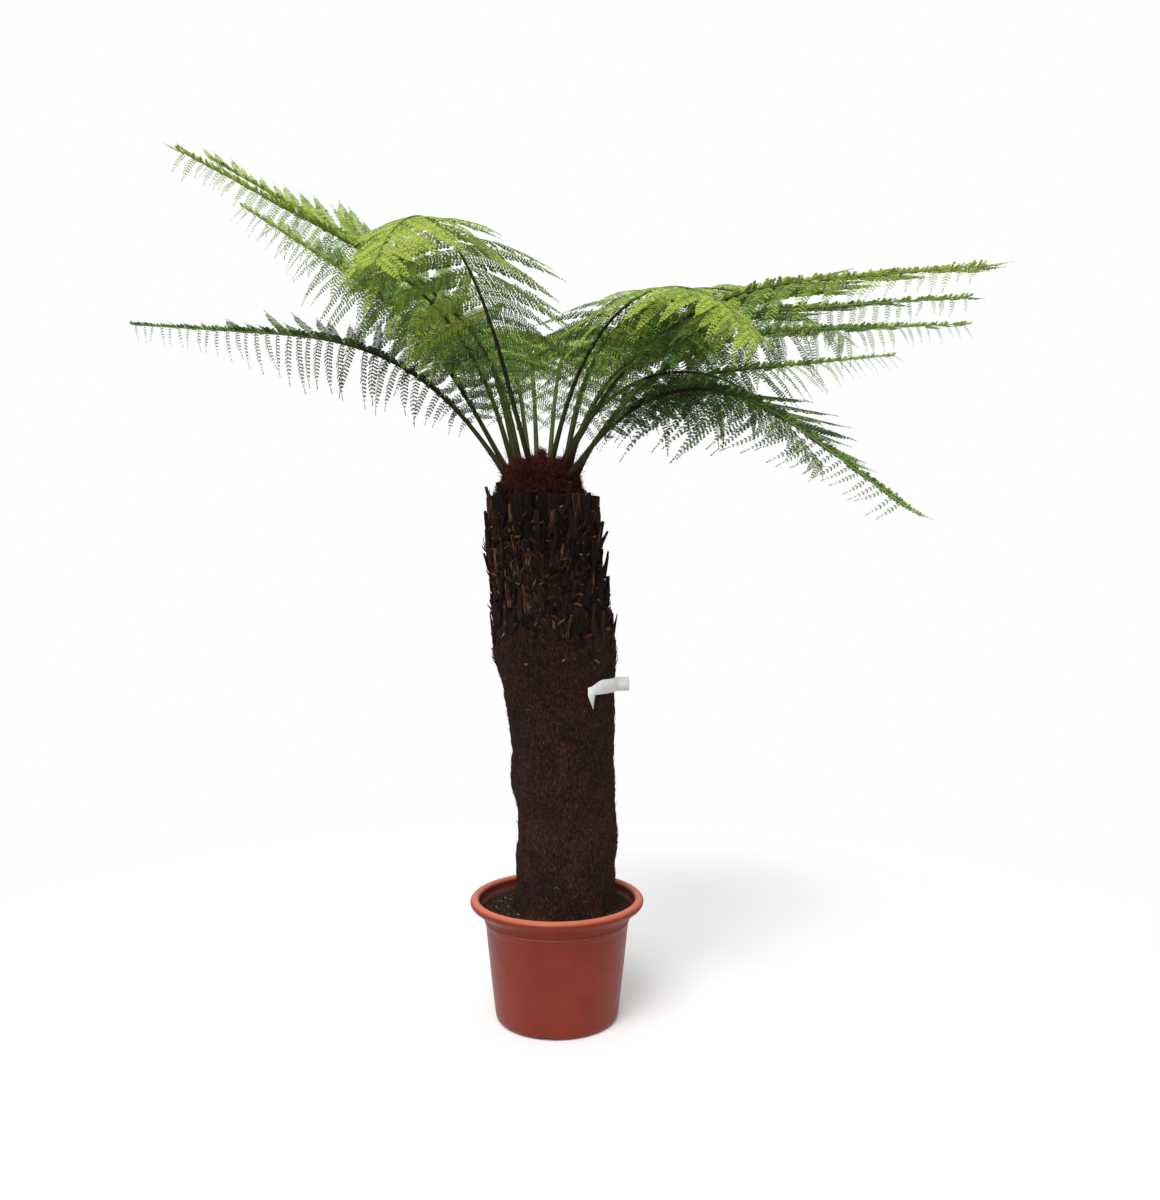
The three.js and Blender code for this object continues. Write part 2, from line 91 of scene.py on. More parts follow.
# %% [markdown]
# ## Colours and nodes
#
# Paint and plastic are matched as web colours, but shader sockets want linear light, so
# the first helper converts them. The next adds a node and fills its sockets in one call, because
# a tree of twenty nodes is hard to read when each socket takes a line. It serves shader trees
# and Geometry Nodes trees alike. The rest are the few patterns that most finishes share: a plain
# colour, a sum, a range, a ramp, a grain, a mix and a relief.

# %% Helpers for colours and nodes
def colour(code):
    """A web colour such as "8b3629" as the linear RGBA that a socket takes."""
    parts = [int(code[i:i + 2], 16) / 255 for i in (0, 2, 4)]
    linear = [c / 12.92 if c <= 0.04045 else ((c + 0.055) / 1.055) ** 2.4 for c in parts]
    return (*linear, 1.0)


def add(tree, kind, sockets=None, **settings):
    """Adds a node. sockets gives, by name or number, a value or the output that feeds it."""
    made = tree.nodes.new(kind)
    for name, value in settings.items():
        setattr(made, name, value)
    for key, value in (sockets or {}).items():
        same = [s for s in made.inputs if s.enabled and s.name == key]
        socket = same[0] if same else made.inputs[key]
        if isinstance(value, bpy.types.NodeSocket):
            tree.links.new(value, socket)
        else:
            socket.default_value = value
    return made


def plain(name, code, roughness, shine=0.15):
    """A material of one colour. It serves the smallest parts whole, and each finish as a start."""
    material = bpy.data.materials.new(name)
    material.use_nodes = True
    shader = material.node_tree.nodes["Principled BSDF"]
    shader.inputs["Base Color"].default_value = colour(code)
    shader.inputs["Roughness"].default_value = roughness
    shader.inputs["Specular IOR Level"].default_value = shine
    material.diffuse_color = colour(code)
    return material


def calc(tree, operation, *values):
    """The result of one step of arithmetic."""
    return add(tree, "ShaderNodeMath", dict(enumerate(values)), operation=operation).outputs[0]


def remap(tree, value, source, target, easing="LINEAR"):
    """A value moved from one range to another, and held within it."""
    return add(tree, "ShaderNodeMapRange", {
        "Value": value, "From Min": source[0], "From Max": source[1],
        "To Min": target[0], "To Max": target[1],
    }, interpolation_type=easing).outputs[0]


def named(tree, attribute):
    """What a named attribute says, in a material."""
    return add(tree, "ShaderNodeAttribute", attribute_name=attribute).outputs["Fac"]


def ramp(tree, factor, stops):
    """A colour ramp through (place, web colour) stops."""
    made = add(tree, "ShaderNodeValToRGB", {"Fac": factor})
    elements = made.color_ramp.elements
    for element, (place, code) in zip(elements, (stops[0], stops[-1]), strict=True):
        element.position, element.color = place, colour(code)
    for place, code in stops[1:-1]:
        elements.new(place).color = colour(code)
    return made.outputs["Color"]


def speckle(tree, size, stretch=(1, 1, 1), detail=6.0):
    """Noise on the object's own coordinates, whose grain is about size metres across."""
    where = add(tree, "ShaderNodeTexCoord").outputs["Object"]
    scale = tuple(1 / (size * s) for s in stretch)
    placed = add(tree, "ShaderNodeMapping", {"Vector": where, "Scale": scale})
    grain = add(tree, "ShaderNodeTexNoise", {"Vector": placed.outputs[0], "Scale": 1.0, "Detail": detail})
    return grain.outputs["Fac"]


def mix(tree, factor, a, b):
    """Two colours mixed by a factor."""
    made = add(tree, "ShaderNodeMix", {"Factor": factor, "A": a, "B": b}, data_type="RGBA")
    return made.outputs["Result"]


def paint(tree, socket, source):
    """Joins a source to a socket of the material's shader."""
    tree.links.new(source, tree.nodes["Principled BSDF"].inputs[socket])


def bump(tree, height, strength, distance):
    """Gives the material a relief from a height."""
    made = add(tree, "ShaderNodeBump", {"Height": height, "Strength": strength, "Distance": distance})
    paint(tree, "Normal", made.outputs[0])


def grained(name, code, roughness, grain, stops, *bumps):
    """A material whose colour follows its grain. Each of bumps has a grain, strength and distance."""
    material = plain(name, code, roughness)
    tree = material.node_tree
    paint(tree, "Base Color", ramp(tree, speckle(tree, grain), stops))
    for size, strength, distance in bumps:
        bump(tree, speckle(tree, size), strength, distance)
    return material

# %% [markdown]
# ## Meshes from numbers
#
# Most shapes here follow a rule, so they are worked out as arrays of points and handed to
# Blender whole. Two kinds of shape come up again and again: a profile turned about the Z axis,
# and a skin over a stack of rings. Both are closed with a single point at a pole, so that no
# seam or hole is left.

# %% Helpers for meshes
def give_values(mesh, values):
    """Named attributes for a mesh. values holds one number or vector a point, by name."""
    for key, array in values.items():
        array = np.asarray(array, np.float32)
        kind, field = ("FLOAT", "value") if array.ndim == 1 else ("FLOAT_VECTOR", "vector")
        mesh.attributes.new(key, kind, "POINT").data.foreach_set(field, array.ravel())


def make_piece(name, points, faces, finishes, face_finish=None, values=None, smooth=True):
    """A mesh object at the origin, with its materials and attributes."""
    mesh = bpy.data.meshes.new(name)
    mesh.from_pydata(np.asarray(points, float).tolist(), [], faces)
    for finish in finishes:
        mesh.materials.append(finish)
    if face_finish is not None:
        mesh.polygons.foreach_set("material_index", np.asarray(face_finish, np.int32))
    give_values(mesh, values or {})
    mesh.polygons.foreach_set("use_smooth", np.full(len(mesh.polygons), smooth))
    mesh.update()
    return put(name, mesh)


def triangles(mesh):
    """How many triangles the faces of a mesh come to."""
    return sum(len(face.vertices) - 2 for face in mesh.polygons)


def capped(points, rings, sides):
    """The points and faces of a skin over rings of points, which run anticlockwise seen from
    the last ring. The two ends are closed to their middles."""
    points = np.asarray(points, float)
    ends = [points[:sides].mean(0), points[-sides:].mean(0)]
    first, last = len(points), len(points) + 1
    top = (rings - 1) * sides
    faces = []
    for start in range(0, top, sides):
        for i in range(sides):
            a, b = start + i, start + (i + 1) % sides
            faces.append((a, b, b + sides, a + sides))
    for i in range(sides):
        j = (i + 1) % sides
        faces.append((first, j, i))
        faces.append((last, top + i, top + j))
    return np.vstack([points, ends]), faces


def facing(bearing):
    """The level direction at a bearing in radians, or at each of many."""
    bearing = np.asarray(bearing, float)
    return np.stack([np.cos(bearing), np.sin(bearing), 0 * bearing], -1)


def around(sides):
    """The bearings of the points of a ring."""
    return np.arange(sides) * 2 * math.pi / sides


def turn_profile(profile, sides):
    """A profile of (radius, height) points turned about Z. Its two ends are on the axis."""
    inner = np.array(profile[1:-1], float)
    rings = inner[:, None, :1] * facing(around(sides))
    rings[..., 2] = inner[:, 1:]
    points, faces = capped(rings.reshape(-1, 3), len(inner), sides)
    points[-2] = (0, 0, profile[0][1])
    points[-1] = (0, 0, profile[-1][1])
    return points, faces


def lerp(a, b, t):
    """The value a share t of the way from a to b."""
    return a + (b - a) * t


def smoothstep(x, start, end):
    """0 up to the start, 1 past the end, and a soft slope between them."""
    t = np.clip((x - start) / (end - start), 0, 1)
    return t * t * (3 - 2 * t)


def relief(points, layers):
    """A smooth random height for each point. Each layer of hills has its height, its size
    across, its stretch upwards, its octaves of detail and its seed."""
    total = 0
    for height, size, stretch, octaves, seed in layers:
        across, up = 1 / size, 1 / (size * stretch)
        total = total + height * np.array([
            noise.fractal(Vector((x * across + seed, y * across, z * up)), 0.8, 2.1, octaves)
            for x, y, z in points
        ])
    return total

# %% [markdown]
# ## Geometry Nodes that scatter and draw
#
# Three small trees do the repeating work. One scatters a thing over a surface, such as root
# fibres over the trunk. One draws a tube along every line of a mesh, for ribs and stems. One
# sets a blade on each of many thousand points, which is how the leaflets get their leaves. A
# particle system could scatter too, but a tree ends in plain joined geometry, which is what a
# kept mesh has to be. What a tree works on is its host, a mesh that carries numbers for it and
# is thrown away once the tree has run.

# %% Helpers that build and run a tree
def new_tree(name, inputs):
    """A tree that takes and gives geometry, with further named inputs."""
    tree = bpy.data.node_groups.new(name, "GeometryNodeTree")
    tree.interface.new_socket("Geometry", in_out="INPUT", socket_type="NodeSocketGeometry")
    tree.interface.new_socket("Geometry", in_out="OUTPUT", socket_type="NodeSocketGeometry")
    for label, kind in inputs.items():
        tree.interface.new_socket(label, in_out="INPUT", socket_type="NodeSocket" + kind)
    return tree, tree.nodes.new("NodeGroupInput").outputs, tree.nodes.new("NodeGroupOutput").inputs


def read(tree, name, kind):
    """The output of a node that reads a named attribute."""
    return add(tree, "GeometryNodeInputNamedAttribute", {"Name": name}, data_type=kind).outputs[0]


def laid(tree, first, along, second, towards):
    """The turn that lays one axis of a thing along a direction and another towards a second."""
    return add(tree, "FunctionNodeAxesToRotation", {
        "Primary Axis": along, "Secondary Axis": towards,
    }, primary_axis=first, secondary_axis=second).outputs[0]


def copies(tree, thing, points, rotation, scale):
    """A copy of a thing on each point."""
    shown = add(tree, "GeometryNodeObjectInfo", {"Object": thing}).outputs["Geometry"]
    return add(tree, "GeometryNodeInstanceOnPoints", {
        "Points": points, "Instance": shown, "Rotation": rotation, "Scale": scale}).outputs[0]


def joined(tree, geometry):
    """Copies turned into plain geometry."""
    return add(tree, "GeometryNodeRealizeInstances", {"Geometry": geometry}).outputs[0]


def coated(tree, geometry, finish, selection=True):
    """Geometry with a material on its selected faces."""
    return add(tree, "GeometryNodeSetMaterial", {
        "Geometry": geometry, "Selection": selection, "Material": finish}).outputs[0]


HOST_VALUES = ("cover", "flow", "aim", "over", "size", "tint", "width")


def grow(name, host, tree, inputs):
    """Runs a tree on a host object and keeps the result as a plain mesh. The host is removed."""
    modifier = host.modifiers.new(tree.name, "NODES")
    modifier.node_group = tree
    for item in tree.interface.items_tree:
        if item.in_out == "INPUT" and item.name in inputs:
            modifier[item.identifier] = inputs[item.name]
    host.update_tag()
    graph = bpy.context.evaluated_depsgraph_get()
    mesh = bpy.data.meshes.new_from_object(host.evaluated_get(graph))
    host.modifiers.remove(modifier)
    bpy.data.objects.remove(host)
    for attribute in HOST_VALUES:
        if attribute in mesh.attributes:
            mesh.attributes.remove(mesh.attributes[attribute])
    mesh.name = name
    print(name, "has", triangles(mesh), "triangles")
    return put(name, mesh)

# %% The tree that scatters things over a surface
def build_scatter():
    """Sets a thing on random points of a surface. Its X follows the surface's flow, up to a
    random spin about the normal, and its tip is lifted off the surface by a random angle."""
    tree, given, result = new_tree("Scatter", {
        "Thing": "Object", "Density": "Float", "Seed": "Int", "Spin": "Float",
        "Least Lift": "Float", "Most Lift": "Float", "Smallest": "Float", "Largest": "Float",
        "Finish": "Material",
    })

    def between(low, high, seed):
        """A random number for each copy."""
        return add(tree, "FunctionNodeRandomValue", {"Min": low, "Max": high, "Seed": seed},
                   data_type="FLOAT").outputs[1]

    density = calc(tree, "MULTIPLY", given["Density"], read(tree, "cover", "FLOAT"))
    spots = add(tree, "GeometryNodeDistributePointsOnFaces", {
        "Mesh": given["Geometry"], "Density": density, "Seed": given["Seed"]})
    turned = laid(tree, "Z", spots.outputs["Normal"], "X", read(tree, "flow", "FLOAT_VECTOR"))
    spin = between(calc(tree, "MULTIPLY", given["Spin"], -1.0), given["Spin"], 0)
    lift = between(given["Least Lift"], given["Most Lift"], 1)
    for axis, angle in (("Z", spin), ("Y", calc(tree, "MULTIPLY", lift, -1.0))):
        about = add(tree, "ShaderNodeCombineXYZ", {axis: angle}).outputs[0]
        turned = add(tree, "FunctionNodeRotateRotation", {
            "Rotation": turned, "Rotate By": about}, rotation_space="LOCAL").outputs[0]
    size = between(given["Smallest"], given["Largest"], 2)
    strewn = joined(tree, copies(tree, given["Thing"], spots.outputs["Points"], turned, size))
    tree.links.new(coated(tree, strewn, given["Finish"]), result["Geometry"])
    return tree


scatter = build_scatter()


def strew(name, piece, cover, thing, density, seed, spin, lifts, sizes, finish, flow=(0, 0, 1)):
    """Scatters a thing over a piece. cover thins the density, from 1 down to 0, point by point."""
    mesh = piece.data.copy()
    give_values(mesh, {"cover": cover, "flow": np.tile(np.array(flow, float), (len(mesh.vertices), 1))})
    return grow(name, put("host", mesh), scatter, {
        "Thing": thing, "Density": float(density), "Seed": seed, "Spin": spin,
        "Least Lift": lifts[0], "Most Lift": lifts[1], "Smallest": sizes[0], "Largest": sizes[1],
        "Finish": finish})


print("scatter takes", [item.name for item in scatter.interface.items_tree])

# %% The tree that draws tubes along lines
def build_tubes():
    """Draws a tube along each line of a mesh. The width attribute is its radius."""
    tree, given, result = new_tree("Tubes", {"Sides": "Int", "Finish": "Material"})
    lines = add(tree, "GeometryNodeMeshToCurve", {"Mesh": given["Geometry"]})
    section = add(tree, "GeometryNodeCurvePrimitiveCircle", {"Resolution": given["Sides"], "Radius": 1.0})
    drawn = add(tree, "GeometryNodeCurveToMesh", {
        "Curve": lines.outputs[0], "Profile Curve": section.outputs[0],
        "Scale": read(tree, "width", "FLOAT"), "Fill Caps": True})
    tree.links.new(coated(tree, drawn.outputs[0], given["Finish"]), result["Geometry"])
    return tree


tubes = build_tubes()


def line_host(name, lines, **values):
    """A mesh of bare lines. Each named attribute is given as a list of arrays, one a line."""
    mesh = bpy.data.meshes.new(name)
    edges = []
    first = 0
    for line in lines:
        edges += [(first + i, first + i + 1) for i in range(len(line) - 1)]
        first += len(line)
    mesh.from_pydata(np.vstack(lines).tolist(), edges, [])
    give_values(mesh, {key: np.concatenate(arrays) for key, arrays in values.items()})
    return put(name, mesh)


print("tubes take", [item.name for item in tubes.interface.items_tree])

# %% [markdown]
# ## The pot
#
# The pot is moulded in one piece: a thin tapered wall, a stepped collar and a thick rolled lip.
# A round thing with a profile is best turned, like wood on a lathe, so the profile is a short
# list of points with the rounded parts drawn as arcs. Small arches in the foot let water out.
#
# The plastic is not one even red. It is dusty, a little blotchy and shows faint rings from the
# mould. Where it faces up, most of all on the lip, it is painted paler, a painted top light.
# Inside it is painted darker, a painted shade, and a number on each point tells the finish how much.

# %% Turn the pot
POT_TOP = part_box("pot")[1].z
LIP_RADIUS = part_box("pot")[1].x
LIP_ROLL = 0.0155
POT_SIDES = 160
NOTCHES = 4
NOTCH_BEARING = math.radians(260)
NOTCH_HALF_ANGLE = math.radians(4.5)
NOTCH_HEIGHT = 0.008
FOOT_HEIGHT = 0.012  # how high the arches bend the foot, and how far out it starts
FOOT_INSIDE = 0.16
# How dark the painted shade inside the pot is, and the depth below the rim over which it fades out
INNER_SHADE_STRENGTH = 0.8
INNER_SHADE_FADE = 0.03


def arc(middle, radius, from_turn, to_turn, steps):
    """Points of an arc about (radius, height), from one angle in degrees to another."""
    angles = np.radians(np.linspace(from_turn, to_turn, steps))
    return [(middle[0] + radius * math.cos(a), middle[1] + radius * math.sin(a)) for a in angles]


def pot_profile():
    """The outside from the middle of the underside up, over the lip, and down the inside."""
    lip_middle = (LIP_RADIUS - LIP_ROLL, POT_TOP - LIP_ROLL)
    outside = [
        (0, 0.004), (0.166, 0.004), (0.169, 0.0), (0.188, 0.0),
        *arc((0.186, 0.02), 0.02, -84, -8, 8),
        (0.2095, 0.045), (0.2247, 0.18), (0.2378, 0.308), (0.2398, 0.327),
        *arc((0.2398, 0.3305), 0.0035, -60, 60, 5),
        (0.2412, 0.3365), (0.2428, 0.350), (0.2440, 0.3525), (0.2560, 0.3590),
        (0.2680, 0.3655), (0.2725, 0.3700), (0.2750, 0.3735),
    ]
    inside = [
        (LIP_RADIUS - 2 * LIP_ROLL + 0.0005, 0.384), (0.2535, 0.372), (0.2370, 0.352),
        (0.2300, 0.300), (0.2050, 0.030), (0.196, 0.009), (0, 0.008),
    ]
    return outside + arc(lip_middle, LIP_ROLL, -70, 165, 22) + inside


def turn_pot():
    """The pot's points and faces, and how much painted shade darkens the inside at each point."""
    points, faces = turn_profile(pot_profile(), POT_SIDES)
    reach = np.hypot(points[:, 0], points[:, 1])
    past_the_lip = np.arange(len(points)) > len(points) // 2
    off = (np.arctan2(points[:, 1], points[:, 0]) - NOTCH_BEARING) * NOTCHES / (2 * math.pi)
    off = np.abs(off - np.round(off)) * 2 * math.pi / NOTCHES
    arch = np.clip(1 - (off / NOTCH_HALF_ANGLE) ** 2, 0, 1) ** 0.5
    at_foot = (points[:, 2] < FOOT_HEIGHT) & (reach > FOOT_INSIDE) & ~past_the_lip
    points[:, 2] += np.where(at_foot, arch * NOTCH_HEIGHT * (1 - points[:, 2] / FOOT_HEIGHT), 0)
    # The inside is painted darker, a painted shade, which fades out just below the rim
    inside = past_the_lip & (reach < LIP_RADIUS - 1.6 * LIP_ROLL)
    painted_inner_shade = INNER_SHADE_STRENGTH * inside * (1 - smoothstep(points[:, 2], POT_TOP - INNER_SHADE_FADE, POT_TOP))
    return points, faces, painted_inner_shade


def pot_finish():
    material = plain("pot_plastic", "752311", 0.45, shine=0.25)
    tree = material.node_tree
    blotches = ramp(tree, speckle(tree, 0.09, detail=3.0), [
        (0.3, "70200f"), (0.5, "752311"), (0.7, "7b2713")])
    dust = ramp(tree, speckle(tree, 0.006, (1, 1, 0.4)), [(0.55, "000000"), (0.8, "2a2a2a")])
    dusty = mix(tree, dust, blotches, colour("a06f5e"))
    # Faces that point up are painted paler, a painted top light that is strongest on the lip
    normal = add(tree, "ShaderNodeNewGeometry").outputs["Normal"]
    upward = add(tree, "ShaderNodeSeparateXYZ", {0: normal}).outputs["Z"]
    painted_top_light = mix(tree, remap(tree, upward, (0.15, 0.95), (0, 0.9)), dusty, colour("d27458"))
    # Inside, the colour is darkened by the painted shade
    paint(tree, "Base Color", mix(tree, named(tree, "painted_inner_shade"), painted_top_light, colour("35150e")))
    where = add(tree, "ShaderNodeTexCoord").outputs["Object"]
    rings = add(tree, "ShaderNodeTexWave", {
        "Vector": where, "Scale": 26.0, "Distortion": 1.2, "Detail": 2.0, "Detail Scale": 4.0,
    }, bands_direction="Z")
    bump(tree, rings.outputs["Fac"], 0.2, 0.0006)
    paint(tree, "Roughness", remap(tree, speckle(tree, 0.03), (0, 1), (0.34, 0.5)))
    return material


pot_points, pot_faces, pot_painted_shade = turn_pot()
pot = make_piece("pot_shell", pot_points, pot_faces, [pot_finish()], values={"painted_inner_shade": pot_painted_shade})
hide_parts("pot")
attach(pot, "root")
print("pot", LIP_RADIUS * 2, "m across and", POT_TOP, "m tall, in", len(pot_faces), "faces")

# %% [markdown]
# ## The soil
#
# Potting soil settles a few centimetres below the rim. It is a turned cushion that swells a
# little towards the trunk and whose top is roughened by noise, with loose crumbs over it: dark
# bark chips, and a few pale and olive specks. The crumbs are scattered by the tree above, which
# reads two attributes: cover says where they may fall, and flow which way they point.

# %% Lay the soil
SOIL_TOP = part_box("soil")[1].z
SOIL_RADIUS = 0.2405
TRUNK_FOOT_LEAN = 0.03
TRUNK_FOOT_RADIUS = 0.165
SWELL = (0.007, 0.006)  # over the whole bed, and more at the trunk
SWELL_FADES = (0.17, 0.23)
SOIL_RELIEF = [  # height, size, stretch upwards, octaves, seed
    (0.004, 0.035, 1, 4, 0.0), (0.002, 0.009, 1, 4, 7.0),
]
CRUMBS = [  # name, web colour, crumbs a square metre, about half the least and the greatest length
    ("bark_crumbs", "3a261b", 9000, 0.00256, 0.00672),
    ("peat_crumbs", "241710", 9000, 0.00256, 0.00800),
    ("olive_crumbs", "5f5536", 900, 0.00224, 0.00480),
    ("pale_crumbs", "a8997c", 450, 0.00192, 0.00448),
]


def from_trunk(points):
    """How far points are from the middle of the trunk's foot, seen from above."""
    return np.hypot(points[:, 0] - TRUNK_FOOT_LEAN, points[:, 1])


def lay_soil():
    """The bed's points and faces, and which points are on its top."""
    top = [(r, SOIL_TOP) for r in np.linspace(SOIL_RADIUS, 0.012, 64)]
    sides = [(0, 0.30), (0.22, 0.30), (0.2365, SOIL_TOP - 0.012)]
    points, faces = turn_profile([*sides, *top, (0, SOIL_TOP)], 180)
    is_top = points[:, 2] > SOIL_TOP - 0.001
    swell = SWELL[0] + SWELL[1] * (1 - smoothstep(from_trunk(points), *SWELL_FADES))
    points[:, 2] += np.where(is_top, swell + relief(points, SOIL_RELIEF), 0)
    return points, faces, is_top


def crumb():
    """A squashed lump of twenty faces, nearly two units long."""
    shape = bmesh.new()
    bmesh.ops.create_icosphere(shape, subdivisions=1, radius=0.6)
    for vertex in shape.verts:
        push = 1 + 0.35 * noise.noise(vertex.co * 3.1)
        vertex.co = Vector((vertex.co.x * 1.5, vertex.co.y, vertex.co.z * 0.7)) * push
    mesh = bpy.data.meshes.new("crumb")
    shape.to_mesh(mesh)
    shape.free()
    return put("crumb", mesh)


soil_points, soil_faces, is_top = lay_soil()
soil_peat = grained("soil_peat", "2b1a14", 0.95, 0.008, [
    (0.3, "170e0a"), (0.5, "2c1c14"), (0.68, "4a3424")], (0.004, 0.6, 0.002))
soil = make_piece("soil_bed", soil_points, soil_faces, [soil_peat])
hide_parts("soil")
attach(soil, "root")

crumb_shape = crumb()
outside_trunk = from_trunk(soil_points) > TRUNK_FOOT_RADIUS
inside_rim = np.hypot(soil_points[:, 0], soil_points[:, 1]) < SOIL_RADIUS - 0.004
for number, (name, code, density, smallest, largest) in enumerate(CRUMBS):
    crumbs = strew(
        name, soil, is_top & outside_trunk & inside_rim, crumb_shape, density, 20 + number, math.pi,
        (-0.5, 0.5), (smallest, largest), plain(name, code, 0.95), flow=(1, 0, 0))
    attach(crumbs, "root")

# %% [markdown]
# ## The trunk
#
# The trunk of a tree fern is a thin stem wrapped in a thick mat of black-brown roots.
# Its outline wanders, so the skin follows a short list of stations for how far the middle leans
# and how thick the mat is, with the corners between them softened. Three layers of noise make
# its relief: slow lumps, knobs, and a fine grain that runs up and down. It could be sculpted
# instead, but noise gives the same result on every run and can be tuned by a few numbers.

# %% Grow the root mat
TRUNK_STATIONS = np.array([  # height, lean of the middle along X, radius
    (0.352, 0.030, 0.184), (0.378, 0.030, 0.174), (0.430, 0.030, 0.167), (0.560, 0.030, 0.164),
    (0.635, 0.036, 0.168), (0.710, 0.028, 0.162), (0.785, 0.018, 0.176), (0.880, 0.022, 0.170),
    (1.000, 0.015, 0.178), (1.120, 0.005, 0.188), (1.210, -0.010, 0.206), (1.300, -0.012, 0.196),
    (1.420, -0.024, 0.190), (1.550, -0.044, 0.190), (1.660, -0.046, 0.180), (1.738, -0.053, 0.168),
])
TRUNK_RINGS = 225
TRUNK_SIDES = 264
CORNER_BLUR = 0.02
TRUNK_RELIEF = [  # height, size, stretch upwards, octaves, seed
    (0.0075, 0.11, 1.3, 2, 0.0), (0.0032, 0.028, 1.6, 3, 3.0), (0.0018, 0.007, 3.5, 2, 9.0),
]


def trunk_at(height):
    """The lean and the radius of the root mat at a height, on a smooth line."""
    stations = TRUNK_STATIONS
    blur = (-CORNER_BLUR, 0, CORNER_BLUR)
    return [
        np.mean([np.interp(height + shift, stations[:, 0], stations[:, k]) for shift in blur], 0)
        for k in (1, 2)
    ]


def trunk_skin():
    """Rings of points from the foot to the top, with their relief."""
    heights = np.linspace(TRUNK_STATIONS[0, 0], TRUNK_STATIONS[-1, 0], TRUNK_RINGS)
    lean, radius = trunk_at(heights)
    out = facing(around(TRUNK_SIDES))
    middles = np.stack([lean, 0 * lean, heights], -1)
    points = (middles[:, None] + radius[:, None, None] * out).reshape(-1, 3)
    return points + np.tile(out, (TRUNK_RINGS, 1)) * relief(points, TRUNK_RELIEF)[:, None]


def bark_finish():
    material = plain("root_mat", "33211b", 1.0)
    tree = material.node_tree
    strands = speckle(tree, 0.005, (1, 1, 2.2))
    patches = speckle(tree, 0.06, (1, 1, 1.5), detail=4.0)
    dark = ramp(tree, strands, [(0.32, "130b09"), (0.5, "281813"), (0.66, "3b2620"), (0.78, "543b31")])
    warm = ramp(tree, strands, [(0.32, "180d0a"), (0.5, "311b15"), (0.66, "482a20"), (0.78, "614233")])
    chosen = ramp(tree, patches, [(0.42, "000000"), (0.6, "ffffff")])
    paint(tree, "Base Color", mix(tree, chosen, dark, warm))
    bump(tree, strands, 0.8, 0.004)
    return material


trunk_points, trunk_faces = capped(trunk_skin(), TRUNK_RINGS, TRUNK_SIDES)
trunk = make_piece("trunk_mat", trunk_points, trunk_faces, [bark_finish()])
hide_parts("trunk")
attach(trunk, "root")
print("trunk mat", len(trunk_faces), "faces, up to", round(float(trunk_points[:, 2].max()), 3), "m")

# %% [markdown]
# ## Root fibres
#
# What makes the mat look matted is thousands of loose root ends, up to three centimetres long
# and hair-thin. Modelling each by hand is hopeless, so one bent strand is scattered over the mat
# along its grain. Most strands are as dark as the mat. A few are rust, ochre or cream, and those
# few are what the eye picks out. Towards the top, torn flakes of old stalk cover the mat as
# well. A flake is the same strand made wide, and it stands further off the mat.

# %% Scatter the fibres
FIBRES = [  # name, web colour, strands a square metre, shortest and longest, spin, most lift
    ("dark_fibres", "251814", 2400, 0.008, 0.030, 1.3, 0.14),
    ("brown_fibres", "412b23", 1300, 0.008, 0.026, 1.5, 0.13),
    ("rust_fibres", "5a3023", 260, 0.006, 0.020, 1.6, 0.12),
    ("ochre_fibres", "8d6c40", 90, 0.006, 0.020, 2.4, 0.10),
    ("cream_fibres", "c2ab80", 40, 0.005, 0.016, 3.0, 0.10),
]
CHIPS = [  # the same, for the flakes of old stalk on the upper trunk
    ("dark_chips", "1b1311", 1300, 0.014, 0.042, 0.7, 0.42),
    ("brown_chips", "462b1f", 800, 0.012, 0.040, 1.1, 0.40),
    ("ochre_chips", "69502f", 330, 0.012, 0.034, 1.8, 0.35),
    ("pale_chips", "a3895b", 70, 0.008, 0.020, 2.6, 0.25),
]
CHIPS_FROM = (1.12, 1.46)  # the heights between which the flakes thicken


def strand(name, thickness, width=None):
    """A bent, tapering strand one unit long, from the origin along X, arching up along Z.
    Given a width as well, it is a flake."""
    along = np.array([0.0, 0.35, 0.7, 1.0])
    arch = np.array([0.0, 0.06, 0.06, -0.02])
    side = np.array([0.0, 0.05, -0.02, 0.06])
    taper = np.array([1.0, 0.9, 0.65, 0.2])
    rings = [
        (x, y + t * (width or thickness) * math.cos(a), z + t * thickness * math.sin(a))
        for x, y, z, t in zip(along, side, arch, taper, strict=True)
        for a in (math.pi / 2, math.pi * 7 / 6, math.pi * 11 / 6)
    ]
    points, faces = capped(rings, len(along), 3)
    return make_piece(name, points, faces, [])


root_strand = strand("root_strand", 0.026)
bark_flake = strand("bark_flake", 0.05, 0.22)
on_the_side = np.ones(len(trunk_points))
on_the_side[-2:] = 0  # the middles of the two ends
flaky = on_the_side * smoothstep(trunk_points[:, 2], *CHIPS_FROM)
sorts = [(*row, root_strand, on_the_side) for row in FIBRES] + [(*row, bark_flake, flaky) for row in CHIPS]
for number, (name, code, density, shortest, longest, spin, lift, thing, cover) in enumerate(sorts):
    fibres = strew(
        name, trunk, cover, thing, density, 40 + number, spin,
        (0.0, lift), (shortest, longest), plain(name, code, 0.9))
    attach(fibres, "root")

# %% [markdown]
# ## The stumps of old fronds
#
# Each year the old fronds are cut, and their stalks stay on the trunk as a shingle of dark
# strips. The topmost row stands side by side, like a palisade, and is cut level. The rows below
# it are narrow and torn, and show between the flakes. A strip is a straight bar with a rounded
# back that leans outwards and narrows towards its end. Its place, size, lean and colour come
# from one seeded stream, so the rows are never quite regular. A number on each point, its tone,
# tells the finish how weathered the strip is.

